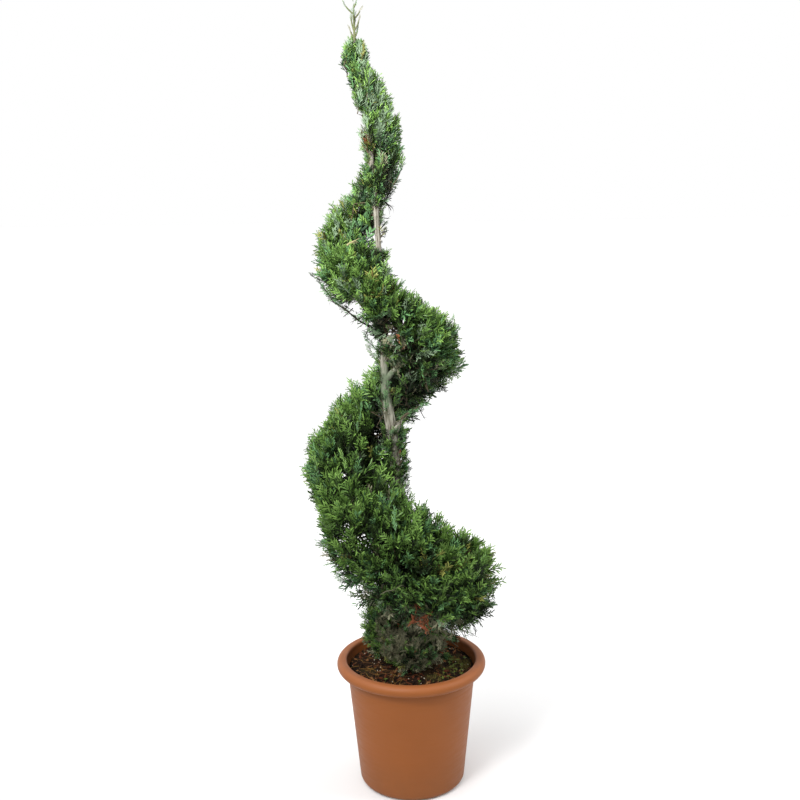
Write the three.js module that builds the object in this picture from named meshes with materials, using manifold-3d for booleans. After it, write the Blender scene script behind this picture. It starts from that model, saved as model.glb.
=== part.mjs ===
// A juniper clipped to a spiral, growing in a round plastic pot. Millimetres, +Z up.
// The origin is the middle of the pot's flat underside. The photographed side faces -Y.
// The plant stands in a group of its own, whose heights start at the top of the soil.
import * as THREE from "three";
import { mergeVertices } from "three/addons/utils/BufferGeometryUtils.js";
import Module from "manifold-3d";

const wasm = await Module();
wasm.setup();

// Driving dimensions of the pot and the soil
const POT = { height: 278.5, footRadius: 112.4, neckRadius: 137.6, neckHeight: 255, rounding: 14, wall: 4 };
const RIM = { middleRadius: 149.1, halfWidth: 10.9, halfHeight: 11.8 };
const DRAIN = { count: 6, radius: 7, circle: 76 };
const SOIL = {
  edgeHeight: 252, shoulderRadius: 104, shoulderHeight: 256, moundRadius: 72, moundHeight: 261,
  topRadius: 46, topHeight: 265,
};
const LATHE_SIDES = 36;
const CLEARANCE = 0.3;

// The trunk: height above the soil, sideways lean and radius, from its flat cut to its tip
const TRUNK = [
  { height: 0, lean: 0, radius: 17 },
  { height: 500, lean: -34, radius: 12 },
  { height: 612, lean: -47, radius: 9 },
  { height: 702, lean: -49, radius: 7 },
  { height: 926, lean: -58, radius: 5.5 },
  { height: 1163, lean: -77, radius: 4.6 },
  { height: 1288, lean: -96, radius: 2.4 },
  { height: 1361, lean: -97, radius: 1 },
];
const TRUNK_TIP = 1288;
const FLARE = { spread: 13, fade: 26, roots: 4, hump: 0.2 };
const TRUNK_RINGS = { low: [10, 26, 50, 90], from: 150, step: 72, sides: 10 };

// The clipped ribbon: at each turn, its middle height above the soil, its reach out from the
// trunk and its half height beside the trunk. Turn 0 is at +X, turn 0.25 at -Y.
const RIBBON = [
  { turn: -1.08, height: 26, reach: 70, half: 25 },
  { turn: -0.75, height: 57, reach: 96, half: 55 },
  { turn: -0.5, height: 76, reach: 106, half: 74 },
  { turn: 0, height: 177, reach: 194, half: 128 },
  { turn: 0.25, height: 266, reach: 208, half: 162 },
  { turn: 0.5, height: 402, reach: 200, half: 154 },
  { turn: 1, height: 680, reach: 160, half: 90 },
  { turn: 1.25, height: 784, reach: 148, half: 98 },
  { turn: 1.5, height: 877, reach: 128, half: 78 },
  { turn: 2, height: 1113, reach: 58, half: 110 },
  { turn: 2.5, height: 1222, reach: 29, half: 76 },
  { turn: 2.92, height: 1252, reach: 30, half: 36 },
];
const FIRST_TURN = -1.08;
const MASS_COUNT = 16;
const MASS_TURN = 0.25;
const LAST_TURN = FIRST_TURN + MASS_COUNT * MASS_TURN;
const ROUNDNESS = 2.6;

// A mass's own space: its margins to the next masses, to the turns above and below and to the limbs,
// and how far past the clipped surface its tips may stand
const SPACE = { margin: 1.2, turnMargin: 0.04, limbMargin: 2.5, tipReach: 11 };

// The core fills each mass as a share of the ribbon's section, with a slightly uneven surface
const CORE = { share: 0.85, innerShare: 0.2, trunkGap: 4, evenness: 0.95, rings: 6, sides: 9 };

// A bough ends at a share of the ribbon's reach, below the ribbon's middle line, and climbs to that point.
// Its radius tapers from the collar at the trunk.
const BOUGH = {
  reachShare: 0.29, drop: 0.3, climb: 1.15, lowestFoot: 14, leastRise: 8, bendOut: 0.62, bendUp: 0.4,
  radiusShare: 0.042, leastRadius: 1.3, taper: 0.38, collar: 0.5, collarFade: 8, sides: 6, steps: 4,
};

// A spray: half of its outline, from the root along one side to the tip, as shares of its length,
// then its ridge, its thickness, how it stands and how far it may be shortened to fit
const SPRAY = {
  outline: [[0, 0], [0.36, 0.32], [0.52, 0.1], [0.7, 0.2], [1, 0]],
  ridge: 0.5, thickness: 0.06, lift: 0.6, liftSpread: 0.3, climb: 0.9, lean: 0.8, turnSpread: 1.1,
  shorter: 0.88, leastShare: 0.5,
};

// Where sprays are rooted, their spacing and length as a base and a share of the ribbon's reach,
// and how far round the section they stand
const SPRAY_GRID = {
  rootShare: 0.8, rootGap: 0.04, spacing: 33, spacingShare: 0.15, length: 24, lengthShare: 0.3,
  edgeDegrees: 76, leastRows: 4,
};

// The leader: the thin shoot above the trunk's tip
const LEADER = { top: 1361, tipGap: 2, radius: 2.4, taper: 1.5, sprays: 6, sprayLength: 27, splay: 0.55 };
const GOLDEN_ANGLE = Math.PI * (3 - Math.sqrt(5));

const material = (color, roughness) => new THREE.MeshStandardMaterial({ color, roughness, metalness: 0 });
const TERRACOTTA = material("#b5683f", 0.55);
const COMPOST = material("#3a2a20", 0.95);
const BARK = material("#8d8272", 0.9);
const FOLIAGE = [material("#3f6b35", 0.8), material("#4f7f3c", 0.8), material("#35583a", 0.8)];

// Helpers for numbers

function seeded(seed) {
  let state = seed;
  return () => {
    state = (state * 1664525 + 1013904223) % 4294967296;
    return state / 4294967296;
  };
}

// A smooth curve through the rows of a table that never overshoots between two of them
function through(rows, across, along) {
  const x = rows.map((row) => row[across]);
  const y = rows.map((row) => row[along]);
  const slope = x.slice(1).map((end, i) => (y[i + 1] - y[i]) / (end - x[i]));
  const tangent = x.map((_, i) => {
    if (i === 0 || i === x.length - 1) return slope[Math.min(i, slope.length - 1)];
    const [before, after] = [slope[i - 1], slope[i]];
    return before * after <= 0 ? 0 : (2 * before * after) / (before + after);
  });
  return (value) => {
    const at = Math.min(Math.max(value, x[0]), x[x.length - 1]);
    const i = Math.min(x.findLastIndex((start) => start <= at), x.length - 2);
    const span = x[i + 1] - x[i];
    const t = (at - x[i]) / span;
    const rise = y[i] * (1 + 2 * t) + span * tangent[i] * t;
    const fall = y[i + 1] * (3 - 2 * t) + span * tangent[i + 1] * (t - 1);
    return rise * (1 - t) ** 2 + fall * t ** 2;
  };
}

const lean = through(TRUNK, "height", "lean");
const trunkRadius = through(TRUNK, "height", "radius");
const ribbonHeight = through(RIBBON, "turn", "height");
const ribbonReach = through(RIBBON, "turn", "reach");
const ribbonHalf = through(RIBBON, "turn", "half");

const flareRadius = (height) => trunkRadius(height) + FLARE.spread * Math.exp(-height / FLARE.fade);

// Helpers for solids

function solidOf(geometry) {
  const bare = geometry.clone();
  bare.deleteAttribute("normal");
  bare.deleteAttribute("uv");
  const merged = mergeVertices(bare, 1e-4);
  const corners = merged.index.array;
  const triangles = [];
  for (let i = 0; i < corners.length; i += 3) {
    const [a, b, c] = corners.subarray(i, i + 3);
    if (a !== b && b !== c && c !== a) triangles.push(a, b, c);
  }
  const vertProperties = merged.attributes.position.array;
  const triVerts = new Uint32Array(triangles);
  return new wasm.Manifold(new wasm.Mesh({ numProp: 3, vertProperties, triVerts }));
}

function meshOf(name, solid, surface) {
  const { vertProperties, triVerts } = solid.getMesh();
  const geometry = new THREE.BufferGeometry();
  geometry.setAttribute("position", new THREE.BufferAttribute(new Float32Array(vertProperties), 3));
  geometry.setIndex(new THREE.BufferAttribute(new Uint32Array(triVerts), 1));
  geometry.computeVertexNormals();
  const mesh = new THREE.Mesh(geometry, surface);
  mesh.name = name;
  return mesh;
}

// The largest body of a solid: this drops loose scraps and fills hollows that fusing sealed
const wholeBody = (solid) => solid.decompose().sort((a, b) => b.volume() - a.volume())[0];

// A closed skin over rings of points, each ring anticlockwise about the way of travel
function loft(rings) {
  const sides = rings[0].length;
  const middle = (ring) => ring.reduce((sum, p) => sum.add(p), new THREE.Vector3()).divideScalar(sides);
  const points = [...rings.flat(), middle(rings[0]), middle(rings.at(-1))];
  const start = points.length - 2;
  const end = points.length - 1;
  const index = [];
  for (let j = 0; j < sides; j++) {
    const next = (j + 1) % sides;
    for (let i = 0; i < rings.length - 1; i++) {
      const [low, high] = [i * sides, (i + 1) * sides];
      index.push(low + j, low + next, high + next, low + j, high + next, high + j);
    }
    const last = (rings.length - 1) * sides;
    index.push(start, next, j, end, last + j, last + next);
  }
  const geometry = new THREE.BufferGeometry().setFromPoints(points);
  geometry.setIndex(index);
  return geometry;
}

// A tapering limb with round sections square to its curve, and straight on past its end if asked
function limb(curve, radiusAt, sides, steps, overrun = 0) {
  const side = new THREE.Vector3();
  const up = new THREE.Vector3();
  const chord = curve.getPoint(1).sub(curve.getPoint(0)).normalize();
  const guide = Math.abs(chord.z) > 0.95 ? new THREE.Vector3(0, 1, 0) : new THREE.Vector3(0, 0, 1);
  const rings = [];
  for (let i = 0; i <= steps; i++) {
    const along = curve.getTangent(i / steps);
    side.crossVectors(guide, along).normalize();
    up.crossVectors(along, side);
    const centre = curve.getPoint(i / steps);
    const radius = radiusAt(i / steps);
    rings.push(Array.from({ length: sides }, (_, j) => {
      const angle = (2 * Math.PI * j) / sides;
      const point = centre.clone().addScaledVector(side, radius * Math.cos(angle));
      return point.addScaledVector(up, radius * Math.sin(angle));
    }));
  }
  const onward = curve.getTangent(1);
  if (overrun > 0) rings.push(rings.at(-1).map((p) => p.clone().addScaledVector(onward, overrun)));
  return loft(rings);
}

// Pot and soil

function arc(radius, height, across, upward, fromDegrees, toDegrees, steps) {
  return Array.from({ length: steps + 1 }, (_, i) => {
    const angle = THREE.MathUtils.degToRad(fromDegrees + ((toDegrees - fromDegrees) * i) / steps);
    return new THREE.Vector2(radius + across * Math.cos(angle), height + upward * Math.sin(angle));
  });
}

const wallSlope = (POT.neckRadius - POT.footRadius) / POT.neckHeight;
const wallAngle = THREE.MathUtils.radToDeg(Math.atan(wallSlope));
const outerWall = (height) => POT.footRadius + wallSlope * height;
const innerWall = (height) => outerWall(height) - POT.wall;
const footArcRadius = outerWall(POT.rounding) - POT.rounding * Math.hypot(1, wallSlope);

function lathe(profile) {
  return solidOf(new THREE.LatheGeometry(profile, LATHE_SIDES).rotateX(Math.PI / 2));
}

function pot() {
  const rimHeight = POT.height - RIM.halfHeight;
  const profile = [
    new THREE.Vector2(0, 0),
    ...arc(footArcRadius, POT.rounding, POT.rounding, POT.rounding, -90, -wallAngle, 3),
    ...arc(RIM.middleRadius, rimHeight, RIM.halfWidth, RIM.halfHeight, -158, 180, 9),
    new THREE.Vector2(innerWall(SOIL.edgeHeight), SOIL.edgeHeight),
    ...arc(footArcRadius, POT.rounding, POT.rounding - POT.wall, POT.rounding - POT.wall, -wallAngle, -90, 2),
    new THREE.Vector2(0, POT.wall),
  ];
  let shell = lathe(profile);
  for (let i = 0; i < DRAIN.count; i++) {
    const angle = (2 * Math.PI * (i + 0.5)) / DRAIN.count;
    const hole = new THREE.CylinderGeometry(DRAIN.radius, DRAIN.radius, 4 * POT.wall, 8);
    hole.rotateX(Math.PI / 2).translate(DRAIN.circle * Math.cos(angle), DRAIN.circle * Math.sin(angle), 0);
    shell = shell.subtract(solidOf(hole));
  }
  return shell;
}

function soil() {
  const floor = POT.wall + CLEARANCE;
  const bottomArc = POT.rounding - POT.wall - CLEARANCE;
  const profile = [
    new THREE.Vector2(0, floor),
    ...arc(footArcRadius, POT.rounding, bottomArc, bottomArc, -90, -wallAngle, 2),
    new THREE.Vector2(innerWall(SOIL.edgeHeight) - 2 * CLEARANCE, SOIL.edgeHeight),
    new THREE.Vector2(SOIL.shoulderRadius, SOIL.shoulderHeight),
    new THREE.Vector2(SOIL.moundRadius, SOIL.moundHeight),
    new THREE.Vector2(SOIL.topRadius, SOIL.topHeight),
    new THREE.Vector2(0, SOIL.topHeight),
  ];
  return lathe(profile);
}

// Trunk: level rings up a leaning line, spread into root humps over the soil

function trunk(extra, topHeight) {
  const { low, from, step, sides } = TRUNK_RINGS;
  const heights = [CLEARANCE, ...low];
  for (let height = from; height < topHeight - step / 2; height += step) heights.push(height);
  heights.push(topHeight);
  return loft(heights.map((height) => Array.from({ length: sides }, (_, j) => {
    const angle = (2 * Math.PI * j) / sides;
    const hump = 1 + FLARE.hump * Math.cos(FLARE.roots * angle) * Math.exp(-height / FLARE.fade);
    const radius = flareRadius(height) * hump + extra;
    return new THREE.Vector3(lean(height) + radius * Math.cos(angle), radius * Math.sin(angle), height);
  })));
}

// The ribbon's own coordinates: the turn, and the way out and up from its middle line

function place(turn, out, up) {
  const height = ribbonHeight(turn) + up;
  const azimuth = -2 * Math.PI * turn;
  return new THREE.Vector3(lean(height) + out * Math.cos(azimuth), out * Math.sin(azimuth), height);
}

// A point of the rounded section: angle 0 is the rim, 90 degrees the top beside the trunk
function inSection(turn, share, degrees) {
  const angle = THREE.MathUtils.degToRad(degrees);
  const out = ribbonReach(turn) * Math.abs(Math.cos(angle)) ** (2 / ROUNDNESS);
  const up = ribbonHalf(turn) * Math.sign(angle) * Math.abs(Math.sin(angle)) ** (2 / ROUNDNESS);
  return { out: share * out, up: share * up };
}

function innerReach(turn) {
  return Math.max(CORE.innerShare * ribbonReach(turn), trunkRadius(ribbonHeight(turn)) + CORE.trunkGap);
}

const masses = Array.from({ length: MASS_COUNT }, (_, i) => {
  const from = FIRST_TURN + i * MASS_TURN;
  const number = String(i + 1).padStart(2, "0");
  return { number, from, to: from + MASS_TURN, middle: from + MASS_TURN / 2, random: seeded(1000 + 37 * i) };
});

// How far a height is from the ribbon's middle line at a turn, as a share of the half height
function shareOfHalf(height, turn) {
  return Math.abs(height - ribbonHeight(turn)) / (ribbonHalf(turn) + SPACE.tipReach);
}

// Whether a point lies in a mass's own space: clear of the trunk, between the mass's two ends,
// nearer to its own turn than to the turns above and below, and within reach of the clipped surface
function inSpace(point, mass) {
  const [x, y] = [point.x - lean(point.z), point.y];
  const out = Math.hypot(x, y);
  if (out < flareRadius(point.z) + SPACE.limbMargin) return false;
  if (point.z < 2 * SPACE.margin || point.z > TRUNK_TIP) return false;
  const raw = -Math.atan2(y, x) / (2 * Math.PI);
  const turn = raw + Math.round(mass.middle - raw);
  if (2 * Math.PI * out * (MASS_TURN / 2 - Math.abs(turn - mass.middle)) < SPACE.margin) return false;
  const up = shareOfHalf(point.z, turn);
  const others = [turn - 1, turn + 1].filter((other) => other > FIRST_TURN && other < LAST_TURN);
  if (others.some((other) => shareOfHalf(point.z, other) < up + SPACE.turnMargin)) return false;
  return (out / (ribbonReach(turn) + SPACE.tipReach)) ** ROUNDNESS + up ** ROUNDNESS < 1;
}

// Boughs: each climbs out of the trunk and ends where it enters its mass

function boughOf(mass) {
  const turn = mass.middle;
  const reach = ribbonReach(turn);
  const out = Math.max(BOUGH.reachShare * reach, innerReach(turn) + 10 * CLEARANCE);
  const tip = place(turn, out, -BOUGH.drop * ribbonHalf(turn));
  const foot = Math.max(tip.z - BOUGH.climb * out, BOUGH.lowestFoot);
  tip.setZ(Math.max(tip.z, foot + BOUGH.leastRise));
  const start = new THREE.Vector3(lean(foot), 0, foot);
  const bendHeight = THREE.MathUtils.lerp(foot, tip.z, BOUGH.bendUp);
  const bend = place(turn, BOUGH.bendOut * out, bendHeight - ribbonHeight(turn));
  const radius = Math.max(BOUGH.radiusShare * reach, BOUGH.leastRadius);
  const radiusAt = (t) => radius * (1 - BOUGH.taper * t + BOUGH.collar * Math.exp(-BOUGH.collarFade * t));
  return { curve: new THREE.QuadraticBezierCurve3(start, bend, tip), radiusAt };
}

masses.forEach((mass) => { mass.bough = boughOf(mass); });
const trunkRoom = solidOf(trunk(CLEARANCE, TRUNK_TIP + CLEARANCE));

function bough({ curve, radiusAt }) {
  return wholeBody(solidOf(limb(curve, radiusAt, BOUGH.sides, BOUGH.steps)).subtract(trunkRoom));
}

// The room that a bough needs in its mass, open past its tip by the clearance
function boughRoom({ curve, radiusAt }) {
  const grown = (t) => radiusAt(t) + 3 * CLEARANCE;
  return solidOf(limb(curve, grown, BOUGH.sides, BOUGH.steps, CLEARANCE));
}

function clearOfBough(point, { curve, radiusAt }) {
  for (let t = 0; t <= 1; t += 0.1) {
    if (curve.getPoint(t).distanceTo(point) < radiusAt(t) + SPACE.limbMargin) return false;
  }
  return true;
}

// Foliage: a core, and toothed sprays that stand out of it

function core(mass) {
  const gap = SPACE.margin / (2 * Math.PI * innerReach(mass.middle));
  const rings = [];
  for (let i = 0; i <= CORE.rings; i++) {
    const turn = THREE.MathUtils.lerp(mass.from + gap, mass.to - gap, i / CORE.rings);
    const inner = innerReach(turn);
    const widest = Math.acos((inner / (CORE.share * ribbonReach(turn))) ** (ROUNDNESS / 2));
    rings.push(Array.from({ length: CORE.sides + 1 }, (_, j) => {
      const degrees = THREE.MathUtils.radToDeg(widest * (-1 + (2 * j) / CORE.sides));
      const onInside = j === 0 || j === CORE.sides;
      const uneven = onInside ? 1 : THREE.MathUtils.lerp(CORE.evenness, 1, mass.random());
      const { out, up } = inSection(turn, CORE.share * uneven, degrees);
      return place(turn, Math.max(out, inner), up);
    }));
  }
  return solidOf(loft(rings));
}

function sprayPoints(root, along, across, length) {
  const at = ([forward, aside]) => root.clone()
    .addScaledVector(along, forward * length)
    .addScaledVector(across, aside * length);
  const backward = SPRAY.outline.slice(1, -1).reverse().map(([forward, aside]) => [forward, -aside]);
  return [...SPRAY.outline, ...backward].map(at);
}

function spray(outline, root, along, across, length) {
  const normal = new THREE.Vector3().crossVectors(along, across);
  const ridge = root.clone().addScaledVector(along, SPRAY.ridge * length);
  const over = ridge.clone().addScaledVector(normal, (SPRAY.thickness * length) / 2);
  const under = ridge.clone().addScaledVector(normal, (-SPRAY.thickness * length) / 2);
  const count = outline.length;
  const index = [];
  for (let i = 0; i < count; i++) {
    const next = (i + 1) % count;
    index.push(i, count, next, i, next, count + 1);
  }
  const geometry = new THREE.BufferGeometry().setFromPoints([...outline, over, under]);
  geometry.setIndex(index);
  return solidOf(geometry);
}

function fits(points, mass) {
  return points.every((point) => inSpace(point, mass) && clearOfBough(point, mass.bough));
}

// A spray as long as its mass's space allows, or nothing where too little of it fits
function fittedSpray(root, along, face, fullLength, mass) {
  const across = new THREE.Vector3().crossVectors(face, along).normalize();
  for (let length = fullLength; length > SPRAY.leastShare * fullLength; length *= SPRAY.shorter) {
    const outline = sprayPoints(root, along, across, length);
    if (fits(outline.slice(1), mass)) return spray(outline, root, along, across, length);
  }
  return null;
}

// A spray rooted in the core, low over the clipped surface, that points away from the trunk
// and upwards, and leans towards the middle of its mass
function standingSpray(mass, turn, degrees, length) {
  const { random } = mass;
  const inner = inSection(turn, SPRAY_GRID.rootShare, degrees);
  const outer = inSection(turn, 1, degrees);
  const leastOut = innerReach(turn) + SPRAY_GRID.rootGap * ribbonReach(turn);
  const root = place(turn, Math.max(inner.out, leastOut), inner.up);
  const outward = place(turn, outer.out, outer.up).sub(root).normalize();
  const azimuth = -2 * Math.PI * turn;
  const growth = new THREE.Vector3(Math.cos(azimuth), Math.sin(azimuth), SPRAY.climb);
  growth.addScaledVector(outward, -growth.dot(outward)).normalize();
  const fromMiddle = (mass.middle - turn) / (MASS_TURN / 2);
  const swing = SPRAY.lean * fromMiddle + SPRAY.turnSpread * (random() - 0.5);
  const flat = growth.applyAxisAngle(outward, swing);
  const lift = SPRAY.lift + SPRAY.liftSpread * (random() - 0.5);
  const along = flat.clone().multiplyScalar(Math.cos(lift)).addScaledVector(outward, Math.sin(lift));
  const face = outward.clone().multiplyScalar(Math.cos(lift)).addScaledVector(flat, -Math.sin(lift));
  return fittedSpray(root, along, face, length, mass);
}

function foliage(mass) {
  const reach = ribbonReach(mass.middle);
  const half = ribbonHalf(mass.middle);
  const spacing = SPRAY_GRID.spacing + SPRAY_GRID.spacingShare * reach;
  const length = SPRAY_GRID.length + SPRAY_GRID.lengthShare * reach;
  const arcLength = MASS_TURN * 2 * Math.PI * 0.75 * reach;
  const sectionLength = 1.6 * reach + 1.7 * half;
  const columns = Math.max(1, Math.round(arcLength / spacing));
  const rows = Math.max(SPRAY_GRID.leastRows, Math.round(sectionLength / spacing));
  let solid = core(mass);
  for (let row = 0; row < rows; row++) {
    for (let column = 0; column < columns; column++) {
      const rowShare = (row + 0.3 + 0.4 * mass.random()) / rows;
      const degrees = SPRAY_GRID.edgeDegrees * (2 * rowShare - 1);
      const shift = row % 2 ? 0.25 : -0.25;
      const columnShare = (column + 0.5 + shift + 0.2 * (mass.random() - 0.5)) / columns;
      const turn = mass.from + MASS_TURN * columnShare;
      const piece = standingSpray(mass, turn, degrees, length);
      if (piece) solid = solid.add(piece);
    }
  }
  return wholeBody(solid.subtract(boughRoom(mass.bough)).subtract(trunkRoom));
}

// Leader: the thin shoot that carries on from the trunk's tip, with small sprays up its sides

function leader() {
  const { top, tipGap, radius, taper, sprays, sprayLength, splay } = LEADER;
  const start = new THREE.Vector3(lean(TRUNK_TIP), 0, TRUNK_TIP + CLEARANCE);
  const shoot = new THREE.LineCurve3(start, new THREE.Vector3(lean(top), 0, top - tipGap));
  let solid = solidOf(limb(shoot, (t) => radius - taper * t, 6, 3));
  for (let i = 0; i < sprays; i++) {
    const azimuth = i * GOLDEN_ANGLE;
    const along = new THREE.Vector3(splay * Math.cos(azimuth), splay * Math.sin(azimuth), 1).normalize();
    const face = new THREE.Vector3(Math.cos(azimuth), Math.sin(azimuth), -splay).normalize();
    const across = new THREE.Vector3().crossVectors(face, along);
    const root = shoot.getPoint(0.05 + (0.8 * i) / sprays);
    const length = Math.min(sprayLength, (top - root.z) / along.z);
    solid = solid.add(spray(sprayPoints(root, along, across, length), root, along, across, length));
  }
  return wholeBody(solid);
}

// The whole object

const container = new THREE.Group();
container.add(meshOf("pot", pot(), TERRACOTTA));
container.add(meshOf("soil", soil(), COMPOST));

const plant = new THREE.Group();
plant.position.z = SOIL.topHeight;
plant.add(meshOf("trunk", solidOf(trunk(0, TRUNK_TIP)), BARK));
plant.add(meshOf("leader", leader(), FOLIAGE[1]));
masses.forEach((mass, i) => {
  plant.add(meshOf(`bough_${mass.number}`, bough(mass.bough), BARK));
  plant.add(meshOf(`foliage_${mass.number}`, foliage(mass), FOLIAGE[i % FOLIAGE.length]));
});

const topiary = new THREE.Group();
topiary.add(container, plant);
export default topiary;
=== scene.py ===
# %% [markdown]
# # A spiral topiary in its pot
# This is a conifer with a single trunk. Its crown has been clipped into one ribbon of foliage that winds
# four times round the trunk, and it stands in a terracotta-coloured plastic pot of bark compost.
# The CAD model gives the frame: a pot, the soil, a trunk with its leader, sixteen boughs and sixteen masses.
# The cells below replace each of them with the thing it stands for, in the same place and in metres.

import bmesh
import bpy
import numpy as np
from mathutils import Matrix, Vector, noise


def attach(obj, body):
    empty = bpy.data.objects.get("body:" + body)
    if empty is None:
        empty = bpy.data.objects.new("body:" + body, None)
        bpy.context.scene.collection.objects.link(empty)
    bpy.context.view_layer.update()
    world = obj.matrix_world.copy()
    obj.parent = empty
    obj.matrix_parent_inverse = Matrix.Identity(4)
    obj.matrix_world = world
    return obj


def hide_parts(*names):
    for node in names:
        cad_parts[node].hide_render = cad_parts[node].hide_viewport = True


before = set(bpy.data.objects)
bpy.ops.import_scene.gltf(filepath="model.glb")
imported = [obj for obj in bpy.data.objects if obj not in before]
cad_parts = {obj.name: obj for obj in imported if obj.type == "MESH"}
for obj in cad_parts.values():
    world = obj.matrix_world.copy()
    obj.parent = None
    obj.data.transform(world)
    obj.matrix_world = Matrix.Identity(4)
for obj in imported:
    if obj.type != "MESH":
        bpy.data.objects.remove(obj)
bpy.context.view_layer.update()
print("nodes in the frame:", len(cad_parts))

# %% [markdown]
# ## Units and colours
# Sizes are written in millimetres, as on a drawing, and turned to metres when a mesh is made.
# Colours are picked as sRGB hex values, because that is what a screen shows. Blender computes with
# linear light, so one function turns them over.

# %% Units and colours
MM = 0.001


def linear(hex_colour):
    """The linear colour that Blender computes with, from an sRGB hex value."""
    channels = [int(hex_colour[i:i + 2], 16) / 255 for i in (1, 3, 5)]
    light = [c / 12.92 if c <= 0.04045 else ((c + 0.055) / 1.055) ** 2.4 for c in channels]
    return light + [1.0]


def per_mm(size):
    """The scale of a pattern that repeats every so many millimetres."""
    return 1 / (size * MM)


# %% [markdown]
# ## Materials from nodes
# Every finish here is a Principled shader fed by a few pattern nodes. A finish is a function that adds its
# nodes and says which of them feed the shader. One helper makes the material round it, and another adds
# a node with its settings, values and links.

# %% Helpers for materials
def set_inputs(tree, node, inputs):
    """Gives each named input of a node its value, its colour from a hex value, or its link."""
    for name, value in inputs.items():
        if isinstance(value, bpy.types.NodeSocket):
            tree.links.new(value, node.inputs[name])
        else:
            node.inputs[name].default_value = linear(value) if isinstance(value, str) else value


def add_node(tree, kind, inputs, output=None, **settings):
    """Adds a node and returns one of its outputs: the named one, or else the first that is in use."""
    node = tree.nodes.new("ShaderNode" + kind)
    for name, value in settings.items():
        setattr(node, name, value)
    set_inputs(tree, node, inputs)
    return node.outputs[output] if output else next(socket for socket in node.outputs if socket.enabled)


def make_material(name, values, finish=None):
    """A material with even values on the shader's own sockets, and what the finish adds to them."""
    material = bpy.data.materials.new(name)
    material.use_nodes = True
    tree = material.node_tree
    patterns = finish(tree, add_node(tree, "TexCoord", {}, output="Object")) if finish else {}
    set_inputs(tree, tree.nodes["Principled BSDF"], values | patterns)
    return material


# A colour Mix node has its factor and its two colours at these places
FACTOR, COLOUR_A, COLOUR_B = 0, 6, 7

# %% [markdown]
# ## Meshes from arrays
# A clipped conifer has thousands of tiny shoots. Making each by hand in Blender would take hours, so
# the points and faces are worked out as number arrays and handed to Blender in one go.

# %% Helpers for meshes
def add_object(name, data):
    """An object in the scene that carries a mesh, a lamp or a camera."""
    added = bpy.data.objects.new(name, data)
    bpy.context.scene.collection.objects.link(added)
    return added


def make_piece(name, shape, materials, replaced=(), kinds=None, weld=False):
    """A mesh from points in millimetres and faces, in the place of the CAD nodes it replaces."""
    points, faces = shape
    mesh = bpy.data.meshes.new(name)
    mesh.vertices.add(len(points))
    mesh.vertices.foreach_set("co", (points * MM).astype(np.float32).ravel())
    mesh.loops.add(faces.size)
    mesh.loops.foreach_set("vertex_index", faces.astype(np.int32).ravel())
    mesh.polygons.add(len(faces))
    mesh.polygons.foreach_set("loop_start", np.arange(0, faces.size, faces.shape[1], dtype=np.int32))
    if kinds is not None:
        mesh.polygons.foreach_set("material_index", kinds.astype(np.int32))
    mesh.update(calc_edges=True)
    if weld:
        shell = bmesh.new()
        shell.from_mesh(mesh)
        bmesh.ops.remove_doubles(shell, verts=shell.verts, dist=0.001 * MM)
        bmesh.ops.recalc_face_normals(shell, faces=shell.faces)
        shell.to_mesh(mesh)
        shell.free()
    mesh.shade_smooth()
    for material in materials:
        mesh.materials.append(material)
    piece = add_object(name, mesh)
    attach(piece, "root")
    if replaced:
        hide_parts(*replaced)
    print(f"{name}: {len(mesh.polygons)} faces")
    return piece


def grid_faces(rows, columns):
    """Quads between rows of points that each run once round."""
    row, column = np.meshgrid(np.arange(rows - 1), np.arange(columns), indexing="ij")
    low = row * columns
    following = (column + 1) % columns
    quads = [low + column, low + following, low + columns + following, low + columns + column]
    return np.stack(quads, axis=-1).reshape(-1, 4)


def halved(quads):
    """Two triangles from each quad."""
    return np.vstack([quads[:, :3], quads[:, [0, 2, 3]]])


def join(parts):
    """One list of points and one of faces, from several."""
    starts = np.cumsum([0] + [len(points) for points, _ in parts[:-1]])
    faces = [part[1] + start for part, start in zip(parts, starts)]
    return np.vstack([points for points, _ in parts]), np.vstack(faces)


def unit(vectors):
    """Vectors of the same directions and of length one."""
    return vectors / np.linalg.norm(vectors, axis=-1, keepdims=True)


def level_way(azimuth):
    """Level directions of length one."""
    return np.stack([np.cos(azimuth), np.sin(azimuth), 0 * azimuth], axis=-1)


def once_round(count, offset=0):
    """Even angles once round a circle."""
    return 2 * np.pi * (np.arange(count) + offset) / count


def rough(points, size):
    """Smooth noise from -1 to 1 at each point, with bumps of about the given size."""
    return np.array([noise.noise(Vector(point)) for point in points / size])


UP = np.array([0, 0, 1.0])

# %% [markdown]
# ## The pot
# The pot is injection-moulded: one thin wall, a rolled rim that stiffens it, a rounded foot and two faint
# steps under the rim where pots rest in a stack. A turned shape is one outline spun round an axis, so the
# outline is drawn once as radius and height, with the CAD's sizes and many more points.

# %% Outline of the pot
POT = {"height": 278.5, "foot": 112.4, "neck": 137.6, "neck_height": 255, "rounding": 14, "wall": 4}
RIM = {"radius": 149.1, "half_width": 10.9, "half_height": 11.8, "inner_corner": 4.5}
SOIL_EDGE, SOIL_TOP = 252, 265
SIDES = 144
STACKING_STEPS, STEP_DEPTH, STEP_SHARPNESS = (243, 229), 0.55, 2.2
slope = (POT["neck"] - POT["foot"]) / POT["neck_height"]
tilt = np.degrees(np.arctan(slope))


def outer_wall(height):
    """The wall's outer radius at a height."""
    return POT["foot"] + slope * height


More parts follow.
